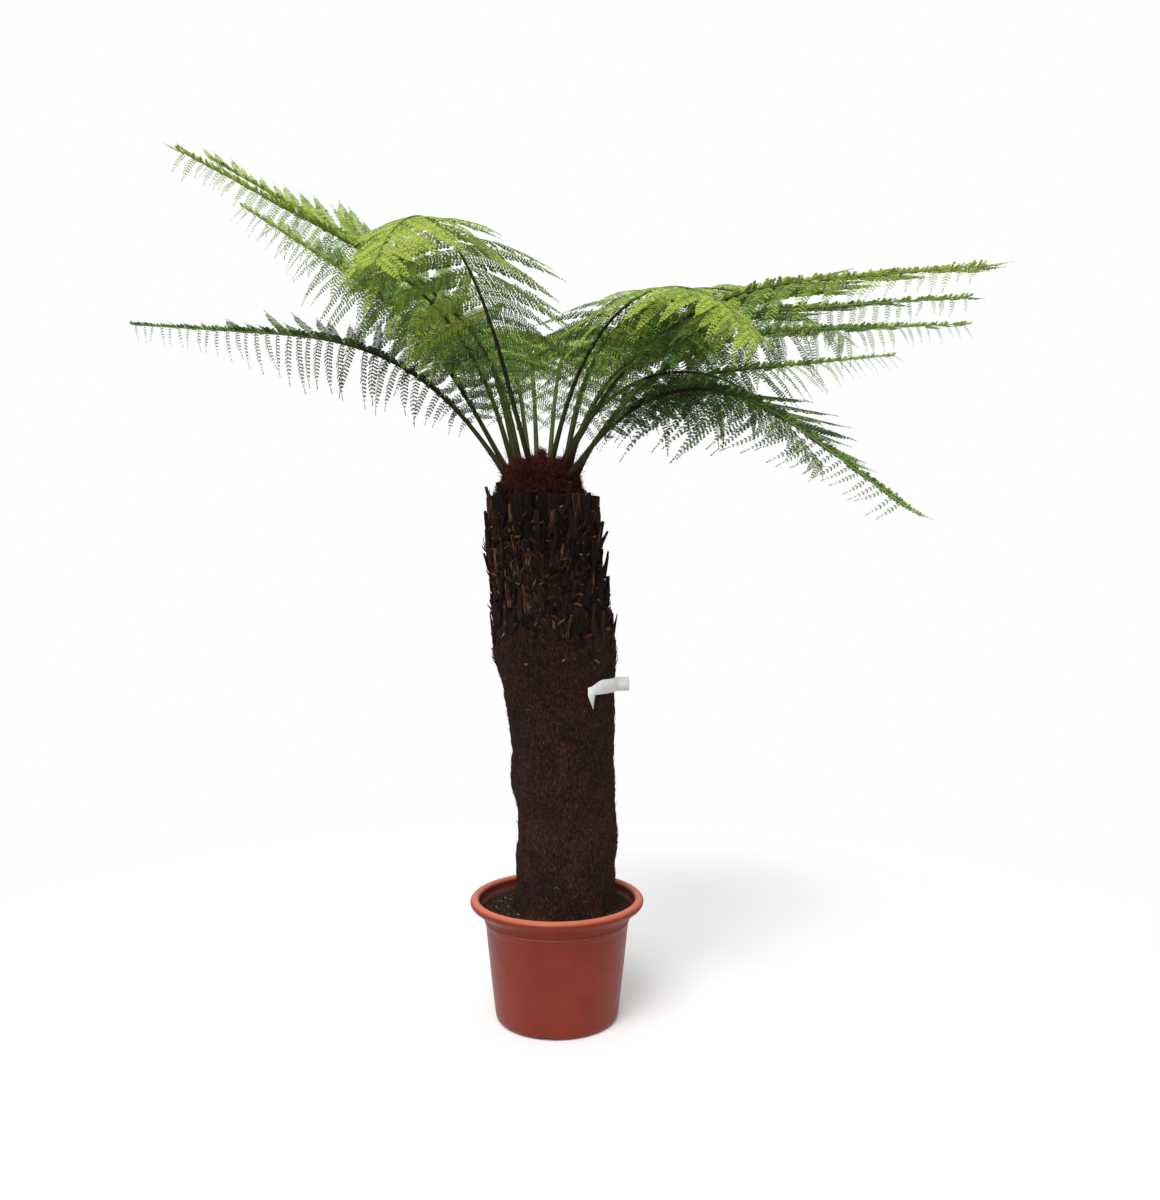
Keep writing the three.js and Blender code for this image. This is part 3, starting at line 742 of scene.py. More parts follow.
# %% Grow the stumps
STUMP_ROWS = 7
STUMPS_PER_ROW = 28
LOWEST_STUMP = 1.38
TRUNK_TOP = TRUNK_STATIONS[-1, 0] + 0.004
STUMP_STEPS = 6
STUMP_SECTION = [  # across the strip and over it, in shares of half its width and of its thickness
    (-1, -0.5), (-0.5, -0.65), (0.5, -0.65), (1, -0.5),
    (0.85, 0.25), (0.4, 0.6), (-0.4, 0.6), (-0.85, 0.25),
]
STUMP_THICKNESS = (0.009, 0.014)
STUMP_TAPER = (0.2, 0.8)
LEVEL_TAPER = 0.1
STUMP_TONES = [0.0, 0.1, 0.22, 0.34, 0.44]
TONE_ODDS = [0.3, 0.28, 0.22, 0.13, 0.07]

# What a strip of the topmost row is like, and one of the rows below: the odds that it stands
# proud, ranges of length, width and lean in degrees, how deep its foot is set in the mat, and
# how far its top may be off level, its line off plumb in degrees and its end off square
TOPMOST = {
    "proud": 0.16, "length": (0.100, 0.120), "width": (0.034, 0.044), "lean": (1, 5),
    "depth": 0.004, "uneven": 0.004, "skew": 4, "slant": 0.075,
}
BELOW = {
    "proud": 0.06, "length": (0.045, 0.105), "width": (0.012, 0.030), "lean": (2, 11),
    "depth": 0.001, "uneven": 0.028, "skew": 12, "slant": 0.5,
}
PROUD_RISE = (0.012, 0.045)
PROUD_LEAN = (6, 20)
PROUD_WIDTH = 0.5


def stump(foot, bearing, length, width, thickness, lean, skew, taper, slant, tone):
    """One strip: its points, faces, tone a point, and which faces are the cut end."""
    out = facing(bearing)
    sideways = np.array([-out[1], out[0], 0])
    onward = np.array([0, 0, 1.0]) + out * math.tan(lean) + sideways * math.tan(skew)
    onward /= np.linalg.norm(onward)
    level = out - onward * (out @ onward)
    points = []
    for t in np.linspace(0, 1, STUMP_STEPS):
        spread = 1 - taper * t ** 1.5
        for side, over in STUMP_SECTION:
            cut = slant * side * width / 2 * t ** 3
            across = sideways * side * width / 2 * spread + level * over * thickness * spread
            points.append(foot + onward * (length * t + cut) + across)
    points, faces = capped(points, STUMP_STEPS, len(STUMP_SECTION))
    is_cut = [len(STUMP_SECTION) * STUMP_STEPS + 1 in face for face in faces]
    return points, faces, [tone] * len(points), is_cut


def grow_stumps():
    """All strips, row by row from below. Those that stand proud are narrow and lean out more."""
    random = np.random.default_rng(11)
    made = []
    for row in range(STUMP_ROWS):
        topmost = row == STUMP_ROWS - 1
        kind = TOPMOST if topmost else BELOW
        row_top = lerp(LOWEST_STUMP, TRUNK_TOP, row / (STUMP_ROWS - 1))
        for i in range(STUMPS_PER_ROW):
            place = i + 0.5 * (row % 2) + random.uniform(-0.25, 0.25)
            bearing = 2 * math.pi * place / STUMPS_PER_ROW
            proud = random.random() < kind["proud"]
            length = random.uniform(*kind["length"])
            foot_height = row_top + kind["uneven"] * random.uniform(-1, 1) - length
            foot_height += random.uniform(*PROUD_RISE) if proud and topmost else 0
            width = random.uniform(*kind["width"]) * (PROUD_WIDTH if proud else 1)
            lean_x, radius = trunk_at(foot_height)
            foot = facing(bearing) * (radius - kind["depth"]) + [lean_x, 0, foot_height]
            lean = random.uniform(*kind["lean"])
            lean += random.uniform(*PROUD_LEAN) if proud else 0
            made.append(stump(
                foot, bearing, length, width, random.uniform(*STUMP_THICKNESS), math.radians(lean),
                math.radians(kind["skew"] * random.uniform(-1, 1)),
                LEVEL_TAPER if topmost and not proud else random.uniform(*STUMP_TAPER),
                kind["slant"] * random.uniform(-1, 1), random.choice(STUMP_TONES, p=TONE_ODDS)))
    return made


def join(parts):
    """Joins shapes of (points, faces, tones, marks) into one."""
    points, faces, tones, marks = [], [], [], []
    for part_points, part_faces, part_tones, part_marks in parts:
        first = len(points)
        points.extend(part_points)
        faces.extend(tuple(i + first for i in face) for face in part_faces)
        tones.extend(part_tones)
        marks.extend(part_marks)
    return np.array(points), faces, tones, marks


def stump_finish():
    material = plain("old_stalk", "2a1c17", 0.85)
    tree = material.node_tree
    grain = speckle(tree, 0.004, (1, 1, 9))
    paint(tree, "Base Color", ramp(tree, calc(tree, "ADD", grain, named(tree, "tone")), [
        (0.35, "0d0b0b"), (0.6, "1d1614"), (0.85, "38241c"), (11 / 12, "573a29"), (1.0, "7b5a3b")]))
    bump(tree, grain, 0.7, 0.003)
    return material


stump_points, stump_faces, stump_tones, stump_cuts = join(grow_stumps())
cut_end = grained("cut_end", "7d6248", 0.9, 0.004, [(0.35, "33231b"), (0.5, "6b5038"), (0.65, "a08560")])
stumps = make_piece("stumps", stump_points, stump_faces, [stump_finish(), cut_end],
                    face_finish=stump_cuts, values={"tone": stump_tones})
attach(stumps, "root")
print(STUMP_ROWS * STUMPS_PER_ROW, "stumps in", len(stump_faces), "faces")

# %% [markdown]
# ## The label
#
# A blank white plastic strap is looped round the side of the trunk. Its free end stands off the
# trunk, and its other end folds down to a point. Thin sheet plastic is easiest as a strip of
# quads along a path, given its thickness by a Solidify modifier, which is then applied so that
# the kept mesh is plain.

# %% Bend the label
LABEL_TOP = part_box("plant_label")[1].z
LABEL_WIDTH = 0.046
LABEL_THICKNESS = 0.0014
LABEL_BEARINGS = (-62, -14)
LABEL_STAND_OFF = 0.012
FREE_END = (0.008, 0.018, 0.03, 0.04)  # its points, by their distance past the loop
FOLD_POINTS = 7
FOLD_DROP = (0.022, 0.002)  # of the upper and the lower edge
TAIL_DROP = 0.092
TAIL_OUT = 0.012


def bend_label():
    """A strip of quads: two rows of points along the strap, top and bottom, and the tail's tip."""
    lean, radius = trunk_at(LABEL_TOP - LABEL_WIDTH / 2)
    reach = float(radius) + LABEL_STAND_OFF
    turns = [math.radians(bearing) for bearing in np.linspace(*LABEL_BEARINGS, 20)]
    path = [np.array([lean + reach * math.cos(a), reach * math.sin(a)]) for a in turns]
    a = turns[-1]  # from here the free end leads away from the trunk
    onward = np.array([math.cos(a) * 0.93 - math.sin(a) * 0.1, math.sin(a) * 0.93 + math.cos(a) * 0.35])
    onward /= np.linalg.norm(onward)
    path += [path[-1] + onward * step for step in FREE_END]
    tops, bottoms = [], []
    for i, (x, y) in enumerate(path):
        fold = 1 - smoothstep(i, 0, FOLD_POINTS)
        tops.append((x, y, LABEL_TOP - FOLD_DROP[0] * fold))
        bottoms.append((x, y, LABEL_TOP - LABEL_WIDTH - FOLD_DROP[1] * fold))
    tail = path[2] + (path[2] - [lean, 0]) * TAIL_OUT
    points = tops + bottoms + [(*tail, LABEL_TOP - TAIL_DROP)]
    count = len(path)
    faces = [(i, count + i, count + i + 1, i + 1) for i in range(count - 1)]
    faces.append((count, 2 * count, count + 3, count + 2, count + 1))
    return points, faces


label_points, label_faces = bend_label()
label_plastic = grained("label_plastic", "e9ebe9", 0.45, 0.02, [
    (0.3, "dfe2e0"), (0.7, "f2f3f1")], (0.012, 0.25, 0.001))
label = make_piece("label_strap", label_points, label_faces, [label_plastic])
wall = label.modifiers.new("wall", "SOLIDIFY")
wall.thickness = LABEL_THICKNESS
wall.offset = 0
graph = bpy.context.evaluated_depsgraph_get()
solid_label = bpy.data.meshes.new_from_object(label.evaluated_get(graph))
label.modifiers.remove(wall)
label.data = solid_label
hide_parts("plant_label")
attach(label, "root")
print("label", len(solid_label.polygons), "faces")

# %% [markdown]
# ## The rule of the fronds
#
# A frond is a stiff rib that bends over under its own weight, with pairs of leaflets from the end
# of its stalk on. The rule is the one that the plain solids were grown by, written again here
# for finer leaflets: a walk in short steps along a slope that eases from the rise to the tip's
# slope, and a leaflet's length that swells and shrinks along the rib. Keeping the numbers the
# same keeps every leaf close to its solid.

# %% The table of fronds
bud_low, bud_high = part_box("crown_wool")
CROWN = np.array([(bud_low.x + bud_high.x) / 2, (bud_low.y + bud_high.y) / 2, bud_low.z])
RIB_STEPS = 60
STALK_SHARE = 0.15
# The bearings between which the ribs, at the back, stay green
GREEN_RIB_BEARINGS = (40, 150)

# bearing, rise, tip's slope, the shares between which it bends, length, longest leaflet,
# the foot's distance from the crown's axis and height, swing of the bearing, age from 0 to 1,
# and the roll that lifts its left side and grows over the length of the stalk
FRONDS = [
    (172, 56, 5, (0.0, 0.7), 1.53, 0.23, (0.106, 0.056), 0, 1.00, -38),
    (156, 59, 33, (0.1, 0.7), 1.60, 0.30, (0.106, 0.060), 0, 0.60, -33),
    (203, 73, 22, (0.05, 0.7), 1.45, 0.31, (0.088, 0.060), 0, 0.35, -38),
    (179, 79, 30, (0.05, 0.6), 1.56, 0.30, (0.060, 0.060), 0, 0.45, -46),
    (248, 52, -48, (0.15, 1.1), 1.52, 0.32, (0.062, 0.060), 14, 0.10, 0),
    (301, 66, -46, (0.0, 1.07), 1.30, 0.32, (0.050, 0.060), 2, 0.15, 0),
    (313, 51, -8, (0.0, 0.78), 1.57, 0.31, (0.086, 0.064), 0, 0.35, 17),
    (3, 67, 3, (-0.1, 0.7), 1.57, 0.30, (0.108, 0.054), 0, 0.60, 19),
    (27, 70, 10, (-0.2, 0.56), 1.67, 0.30, (0.106, 0.056), 0, 0.50, 15),
    (315, 42, -37, (0.0, 0.78), 1.34, 0.28, (0.110, 0.044), 3, 1.00, 9),
    (346, 80, 1, (-0.08, 0.64), 1.51, 0.29, (0.090, 0.066), 0, 0.80, 18),
    # The next five fronds, at the back, have low ages, which also deals their leaves lighter greens:
    # painted light, as if lit through, on leaves that lie in the crown's shade
    (50, 71, -8, (0.1, 0.8), 1.56, 0.30, (0.104, 0.060), 0, 0.25, 0),
    (74, 75, -12, (0.1, 0.8), 1.50, 0.29, (0.084, 0.060), 0, 0.05, 0),
    (97, 70, -10, (0.1, 0.8), 1.54, 0.29, (0.104, 0.060), 0, 0.20, 0),
    (117, 75, -12, (0.1, 0.8), 1.48, 0.29, (0.076, 0.060), 0, 0.05, 0),
    (136, 74, 14, (0.1, 0.8), 1.46, 0.29, (0.104, 0.060), 0, 0.30, 0),
    (329, 66, -50, (-0.1, 0.95), 1.14, 0.28, (0.060, 0.066), 0, 0.50, 0),
    (15, 80, -20, (0.05, 0.9), 1.50, 0.30, (0.076, 0.062), 0, 0.15, 0),
]


class Frond:
    """One frond's numbers, its rib's points, and its own directions at any share of its length."""

    def __init__(self, row):
        (self.bearing, self.rise, self.tip, self.bend, self.length, self.leaf,
         self.foot, self.swing, self.age, self.roll) = row
        steps = (np.arange(RIB_STEPS) + 0.5) / RIB_STEPS
        walk = self.axes(steps)[0] * self.length / RIB_STEPS
        turn = math.radians(self.bearing)
        foot = CROWN + self.foot[0] * facing(turn) + [0, 0, self.foot[1]]
        self.rib = np.vstack([foot, foot + np.cumsum(walk, 0)])
        self.is_fresh = GREEN_RIB_BEARINGS[0] < self.bearing < GREEN_RIB_BEARINGS[1]

    def axes(self, share):
        """The rib's directions along it, to its left and up from it."""
        share = np.asarray(share, float)
        slope = np.radians(lerp(self.rise, self.tip, smoothstep(share, *self.bend)))
        turn = np.radians(self.bearing + self.swing * share)
        level = facing(turn)
        along = level * np.cos(slope)[..., None]
        along[..., 2] = np.sin(slope)
        left = np.stack([-level[..., 1], level[..., 0], 0 * turn], -1)
        up = np.cross(along, left)
        roll = np.radians(self.roll * np.clip(share / STALK_SHARE, 0, 1))[..., None]
        return along, left * np.cos(roll) + up * np.sin(roll), up * np.cos(roll) - left * np.sin(roll)

    def point(self, share):
        place = np.asarray(share, float) * RIB_STEPS
        return np.stack([np.interp(place, np.arange(RIB_STEPS + 1), self.rib[:, k]) for k in range(3)], -1)


fronds = [Frond(row) for row in FRONDS]
print(len(fronds), "fronds reach", round(max(f.rib[:, 2].max() for f in fronds), 2), "m high")

# %% [markdown]
# ## Leaflets along the rib
#
# Each rib carries thirty-four pairs of leaflets, which stand closer towards its tip. A leaflet
# leaves the rib almost square near the stalk and leans forward near the tip. It droops, it sags
# along its length, and on an old frond it curls back as well. Many ribs are rolled, which lifts
# one side and drops the other. A lifted leaflet leans forward and stays straight, while a
# dropped one is shorter and hangs.
#
# Leaflets of different fronds mustn't cut through each other, so each is tested against what
# has already grown. Where it would touch it is shortened, and where even a short one would
# touch it is left out. A tree of near points makes that test quick.

# %% Grow the leaflets
# A rank is a place along the rib, from the first pair, 0, to the last, 1. Angles are in degrees,
# and a pair of values is for a young and an old frond unless a comment says otherwise.
PAIRS = 34
CROWDING = 1.2  # the gap between the first pairs beside an even one
FULLEST_AT = 0.42
FIRST_SIZE = 0.22
LAST_SIZE = 0.28
THINNING = 3.0  # how soon the pairs shorten past the longest
LEAST_SIZE = 0.35  # of the blades and the stem on the shortest pairs
FORWARD_YOUNG = (94, 56)  # the angle to the rib, for the first and the last pair
FORWARD_OLD = (100, 90)
DROOP = (8, 38)
SAG = (0.32, 0.14)
CURL = (0.0, 0.26)
FULL_LIFT = 6  # the roll from which a side counts as wholly lifted or dropped
LIFTED_FORWARD = 40
LIFTED_DROOP = 8
LEANING = (0.1, 0.6)  # the ranks between which a lifted side comes to lean forward
DROPPED_SHARE = 0.76
THINNED = (0.35, 0.7)  # the ranks between which a dropped side comes to be thin
TWIST = 24  # of a leaflet that hangs
HANGING = (0.15, 0.75)  # how steeply it hangs where the twist begins and where it is whole
TWISTED_FROM = 0.4  # the rank past which the twist may be whole
FORWARD_STRAY = 9  # how far chance may move an angle or, last, a pair's place
DROOP_STRAY = 12
TWIST_STRAY = 14
PLACE_STRAY = 0.12
LINE_POINTS = 9
ELBOW_ROOM = 0.014
SHORTENED = (1, 0.86, 0.72, 0.58, 0.44, 0.3)  # the shares of its length that are tried


def fullness(rank):
    """How long a pair is beside the longest one, from the first pair, 0, to the last, 1."""
    if rank < FULLEST_AT:
        return lerp(FIRST_SIZE, 1, math.sin(math.pi / 2 * rank / FULLEST_AT))
    past = (rank - FULLEST_AT) / (1 - FULLEST_AT)
    return lerp(LAST_SIZE, 1, math.cos(math.pi / 2 * past) ** THINNING)


class Leaflet:
    """One leaflet: its line of points and its directions, from root to tip."""

    def __init__(self, frond, pair, side, random):
        def stray(most):
            return random.uniform(-most, most)

        self.frond, self.side = frond, side
        place = (pair + 0.5 + stray(PLACE_STRAY)) / PAIRS
        self.rank = rank = place * lerp(CROWDING, 1, place)
        self.share = STALK_SHARE + (1 - STALK_SHARE) * rank
        along, left, up = frond.axes(self.share)
        tilt = side * frond.roll / FULL_LIFT
        self.lift, drop = min(1.0, max(0.0, tilt)), min(1.0, max(0.0, -tilt))
        forward = lerp(lerp(*FORWARD_YOUNG, rank), lerp(*FORWARD_OLD, rank), frond.age)
        forward = lerp(forward, LIFTED_FORWARD, self.lift * smoothstep(rank, *LEANING))
        forward = math.radians(forward + stray(FORWARD_STRAY))
        droop = lerp(lerp(*DROOP, frond.age), LIFTED_DROOP, self.lift)
        droop = math.radians(droop + stray(DROOP_STRAY))
        outward = left * side * math.cos(droop) - up * math.sin(droop)
        self.root = frond.point(self.share)
        self.aim = along * math.cos(forward) + outward * math.sin(forward)
        across = along - self.aim * (along @ self.aim)
        across /= np.linalg.norm(across)
        over = np.cross(self.aim, across) * -side
        twist = TWIST * smoothstep(-self.aim[2], *HANGING) * smoothstep(rank, 0, TWISTED_FROM)
        twist = math.radians(twist + stray(TWIST_STRAY))
        self.across = across * math.cos(twist) - over * math.sin(twist)
        self.length = frond.leaf * fullness(rank) * lerp(1, DROPPED_SHARE, drop) * random.uniform(0.8, 1.0)
        self.size = lerp(LEAST_SIZE, 1, fullness(rank))
        self.thinned = drop * smoothstep(rank, *THINNED)
        sag = lerp(*SAG, frond.age) * (1 - self.lift) * random.uniform(0.7, 1.3)
        curl = lerp(*CURL, frond.age) * (1 - self.lift) * random.uniform(0.6, 1.4)
        self.bend = -sag * np.array([0, 0, 1]) - curl * along

    def point(self, q):
        q = np.asarray(q, float)[..., None]
        return self.root + self.length * (self.aim * q + self.bend * q * q)

    def axes(self, q):
        """Directions along the leaflet, across it towards the frond's tip, and over it."""
        q = np.asarray(q, float)[..., None]
        along = self.aim + 2 * self.bend * q
        along /= np.linalg.norm(along, axis=-1, keepdims=True)
        across = self.across - along * np.sum(self.across * along, -1, keepdims=True)
        across /= np.linalg.norm(across, axis=-1, keepdims=True)
        return along, across, np.cross(along, across) * -self.side


def near_tree(points):
    tree = KDTree(len(points))
    for i, point in enumerate(points):
        tree.insert(point, i)
    tree.balance()
    return tree


def grow_leaflets():
    random = np.random.default_rng(5)
    probes = np.linspace(0.2, 1, 7)
    taken = [[frond.rib[4:]] for frond in fronds]
    grown = []
    shortened = dropped = 0
    for number, frond in enumerate(fronds):
        rivals = [points for i, rows in enumerate(taken) if i != number for points in rows]
        others = near_tree(np.vstack(rivals))
        for pair in range(PAIRS):
            for side in (1, -1):
                leaflet = Leaflet(frond, pair, side, random)
                whole = leaflet.length
                for part in SHORTENED:
                    leaflet.length = whole * part
                    points = leaflet.point(probes)
                    if all(others.find(p)[2] > ELBOW_ROOM for p in points):
                        taken[number].append(points)
                        grown.append(leaflet)
                        shortened += part < 1
                        break
                else:
                    dropped += 1
    print(len(grown), "leaflets,", shortened, "shortened and", dropped, "left out")
    return grown


leaflets = grow_leaflets()

# %% [markdown]
# ## Ribs and stems
#
# The ribs are drawn as tubes along the walked lines, wide at the foot and thin at the tip. A
# number on each point, its share of the length, goes through the tree with it, so the finish can
# turn from red-brown at the foot through olive and dark brown to green. The ribs at the back, on
# bearings from 40 to 150 degrees, skip the dark brown and stay green, and another number says
# which they are. The stems of the leaflets are far thinner tubes of one colour each.

# %% Draw the ribs
RIB_RADII = (0.0112, 0.0012)
FOOT_FLARE = (1.35, 1.2, 1.08)


def rib_finish():
    material = plain("rib", "4a3a24", 0.6)
    tree = material.node_tree
    wander = calc(tree, "MULTIPLY_ADD", speckle(tree, 0.05), 0.16, -0.08)
    place = calc(tree, "ADD", named(tree, "share"), wander)
    dark = ramp(tree, place, [
        (0.0, "3a1d14"), (0.05, "40391f"), (0.14, "3f4724"), (0.26, "2f2717"), (0.45, "33271a"),
        (0.62, "55602f"), (0.8, "6f8740"), (1.0, "7d9a48")])
    green = ramp(tree, place, [
        (0.0, "3a1d14"), (0.06, "47522a"), (0.3, "57692f"), (0.6, "6f8740"), (1.0, "7d9a48")])
    flecks = ramp(tree, speckle(tree, 0.004, (1, 1, 3)), [(0.45, "000000"), (0.75, "4a4a4a")])
    # Ribs at the back stay green; the others turn dark brown along the middle
    along = mix(tree, named(tree, "fresh"), dark, green)
    paint(tree, "Base Color", mix(tree, flecks, along, colour("2a1811")))
    bump(tree, speckle(tree, 0.003, (1, 1, 4)), 0.35, 0.001)
    return material


shares = np.linspace(0, 1, RIB_STEPS + 1)
rib_widths = lerp(*RIB_RADII, shares ** 0.55)
rib_widths[:len(FOOT_FLARE)] *= FOOT_FLARE
rib_host = line_host("rib_lines", [f.rib for f in fronds], width=[rib_widths] * len(fronds),
                     share=[shares] * len(fronds), fresh=[shares * 0 + f.is_fresh for f in fronds])
ribs = grow("frond_ribs", rib_host, tubes, {"Sides": 10, "Finish": rib_finish()})
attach(ribs, "root")

# %% Draw the stems of the leaflets
STEM_RADIUS = 0.0014
GREEN_FROM = (0.25, 0.85)  # the rank from which stems are green, on a young and an old frond
stem_points = np.linspace(0, 0.99, LINE_POINTS)
stem_lines = [leaflet.point(stem_points) for leaflet in leaflets]
stem_widths = [STEM_RADIUS * leaflet.size * (1 - 0.75 * stem_points) for leaflet in leaflets]
young = [leaflet.rank > lerp(*GREEN_FROM, leaflet.frond.age) for leaflet in leaflets]
for name, code, wanted in (("young_stems", "7d9a48", True), ("old_stems", "3f4a28", False)):
    chosen = [i for i, is_young in enumerate(young) if is_young == wanted]
    host = line_host(name, [stem_lines[i] for i in chosen], width=[stem_widths[i] for i in chosen])
    stems = grow(name, host, tubes, {"Sides": 3, "Finish": plain(name, code, 0.6)})
    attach(stems, "root")

# %% [markdown]
# ## The blades
#
# The last step down is the blade: each leaflet is a comb of some thirty-seven of them,
# one to three and a half centimetres long, with lobed edges. One flat blade is modelled, and a
# tree sets a copy on every point, turned by two directions and stretched by a size, which the
# points carry as attributes.
#
# The comb is dense on a lifted side, where short blades also crowd on the rib between the
# leaflets. It is thin near the stalk of a young frond and towards the tip of a dropped side.
# The greens are plain colours dealt out blade by blade about each leaflet's own green:
# yellow-green where the frond is young, deep and greyish where it is old and low. Painted light
# makes the outer and lifted leaflets yellower, as if lit through, and painted shade makes the inner
# ones deeper.

# %% Model one blade
BLADE_LOBES = 3
BLADE_HALF_WIDTH = 0.21


def blade():
    """A flat lobed blade one unit long along X, with a keel along its middle."""
    stations = np.linspace(0.0, 0.86, BLADE_LOBES + 1)
    points = [(x, 0, 0.035 * math.sin(math.pi * x)) for x in stations] + [(1, 0, -0.05)]
    tip = BLADE_LOBES + 1
    faces = []
    for side in (1, -1):
        for lobe in range(BLADE_LOBES):
            width = BLADE_HALF_WIDTH * math.sin(math.pi * (0.2 + 0.66 * lobe / BLADE_LOBES)) ** 0.6
            near, far = stations[lobe], stations[lobe + 1]
            first = len(points)
            points.append((lerp(near, far, 0.45), side * width, -0.03))
            points.append((lerp(near, far, 0.98), side * width * 0.72, -0.025))
            quad = (lobe, first, first + 1, lobe + 1)
            faces.append(quad if side < 0 else quad[::-1])
        last = len(points) - 1
        end = (BLADE_LOBES, last, tip)
        faces.append(end if side < 0 else end[::-1])
    return make_piece("blade", points, faces, [], smooth=False)


blade_shape = blade()
print("one blade has", triangles(blade_shape.data), "triangles")

# %% The tree that sets blades on points
GREENS = [  # name and web colour, from young to old
    ("leaf_yellow", "a3b347"), ("leaf_bright", "809a43"), ("leaf_mid", "61803b"),
    ("leaf_deep", "456032"), ("leaf_grey", "374a2d"),
]


def build_blades():
    """Sets the blade on each point, and deals it the green of that point's tint."""
    sockets = {"Blade": "Object", **{name: "Material" for name, _ in GREENS}}
    tree, given, result = new_tree("Blades", sockets)
    aim, over, size = [read(tree, key, "FLOAT_VECTOR") for key in ("aim", "over", "size")]
    turned = laid(tree, "X", aim, "Z", over)
    shown = joined(tree, copies(tree, given["Blade"], given["Geometry"], turned, size))
    tint = read(tree, "tint", "FLOAT")
    for number, (name, _) in enumerate(GREENS):
        same = add(tree, "FunctionNodeCompare", {"A": tint, "B": float(number), "Epsilon": 0.4},
                   data_type="FLOAT", operation="EQUAL").outputs[0]
        shown = coated(tree, shown, given[name], same)
    tree.links.new(shown, result["Geometry"])
    return tree


blades = build_blades()
greens = {name: plain(name, code, 0.7) for name, code in GREENS}

# %% Comb the leaflets with blades
# As above, a pair of values is for a young and an old frond unless a comment says otherwise.
BLADE_PITCH = (0.0088, 0.0108)
BLADE_ANGLES = (74, 52)  # to the leaflet, at its root and its tip
BLADE_DROOP = (10, 22)
BLADE_FILL = (1.22, 0.85)  # its width beside the pitch
LIFTED_FILL = 1.4
THINNED_FILL = 0.64
BLADE_REACH = (1.85, 1.12)  # its length beside half the gap between leaflets
THINNED_REACH = 0.78
WIDEST = 0.17  # the most it may be beside its leaflet's length
SPARSE = (0.05, 0.42)  # the ranks between which a young frond's comb fills up
SPARSE_AGE = 0.8  # how much of that an old frond is spared
DRIP_TIP = 0.032
TUFTED_LIFT = 0.5
TUFT_BLADES = 11
TUFT_LENGTH = 0.038
TUFT_WIDTH = 0.9
TUFT_SLANT = (22, 55)  # the least and the most, from the rib and about it
TUFT_TURN = (20, 100)
# How yellow a leaflet is, from 0 to 1: where it starts, and what age, rank and lift add to it.
# Age gives young fronds their own yellow. Rank and lift add painted light, yellowing the outer and
# lifted leaflets as if lit through, and painted shade, deepening the inner ones.
YELLOW_FROM_AGE_AND_LIGHT = {"start": 0.9, "age": -0.8, "rank": 0.55, "lift": 0.15}
LEAFLET_SPREAD = 0.12
TINT_SPREAD = 0.55


def comb_width(q):
    """How long the blades are along a leaflet, beside the longest."""
    shoulder = 0.7 + 0.3 * smoothstep(q, 0, 0.15)
    return shoulder * (1 - np.clip((q - 0.5) / 0.5, 0, 1) ** 2.2 * 0.8)


def tuft(leaflet, random):
    """Short blades that crowd on the rib beside a lifted leaflet and lean forward with it."""
    share = leaflet.share + random.uniform(-0.5, 0.5, TUFT_BLADES) * (1 - STALK_SHARE) / PAIRS
    along, left, up = leaflet.frond.axes(share)
    slant = np.radians(random.uniform(*TUFT_SLANT, TUFT_BLADES))[:, None]
    turn = np.radians(random.uniform(*TUFT_TURN, TUFT_BLADES))[:, None]
    outward = left * leaflet.side * np.cos(turn) + up * np.sin(turn)
    aim = along * np.cos(slant) + outward * np.sin(slant)
    over = up * np.cos(turn) - left * leaflet.side * np.sin(turn)
    reach = TUFT_LENGTH * leaflet.size * random.uniform(0.6, 1.0, TUFT_BLADES)
    return leaflet.frond.point(share), aim, over, np.stack([reach, reach * TUFT_WIDTH, reach], -1)


def comb(leaflet, random):
    """The points, directions and sizes of one leaflet's blades."""
    age = leaflet.frond.age
    pitch = lerp(*BLADE_PITCH, age) * (0.7 + 0.3 * leaflet.size)
    count = max(5, round(leaflet.length / pitch))
    q = (np.arange(count) + 0.7) / (count + 0.3)
    along, across, over = leaflet.axes(q)
    room = leaflet.frond.length * (1 - STALK_SHARE) / PAIRS / 2
    sparse = (1 - leaflet.lift) * (1 - smoothstep(leaflet.rank, *SPARSE))
    sparse *= 1 - SPARSE_AGE * age
    thin = max(leaflet.thinned, sparse)
    reach = lerp(*BLADE_REACH, age) * lerp(1, THINNED_REACH, thin)
    length = min(room * reach * leaflet.size, leaflet.length * WIDEST) * comb_width(q)
    fill = lerp(lerp(lerp(*BLADE_FILL, age), LIFTED_FILL, leaflet.lift), THINNED_FILL, thin)
    rows = []
    for side in (1, -1):
        angle = np.radians(lerp(*BLADE_ANGLES, q) + random.uniform(-5, 5, count))[:, None]
        droop = np.radians(lerp(*BLADE_DROOP, age) + random.uniform(-8, 8, count))[:, None]
        outward = across * side * np.cos(droop) - over * np.sin(droop)
        aim = along * np.cos(angle) + outward * np.sin(angle)
        lifted = over * np.cos(droop) + across * side * np.sin(droop)
        reach = length * random.uniform(0.92, 1.05, count)
        width = pitch * fill / (2 * BLADE_HALF_WIDTH) * np.minimum(1, reach / (room * 0.55))
        rows.append((leaflet.point(q), aim, lifted, np.stack([reach, width, reach], -1)))
    end_along, _, end_over = leaflet.axes(np.array([1.0]))
    drip = leaflet.size * DRIP_TIP * np.array([[1, 0.35, 1]])
    rows.append((leaflet.point(np.array([0.985])), end_along, end_over, drip))
    if leaflet.lift > TUFTED_LIFT:
        rows.append(tuft(leaflet, random))
    return [np.vstack([row[k] for row in rows]) for k in range(4)]


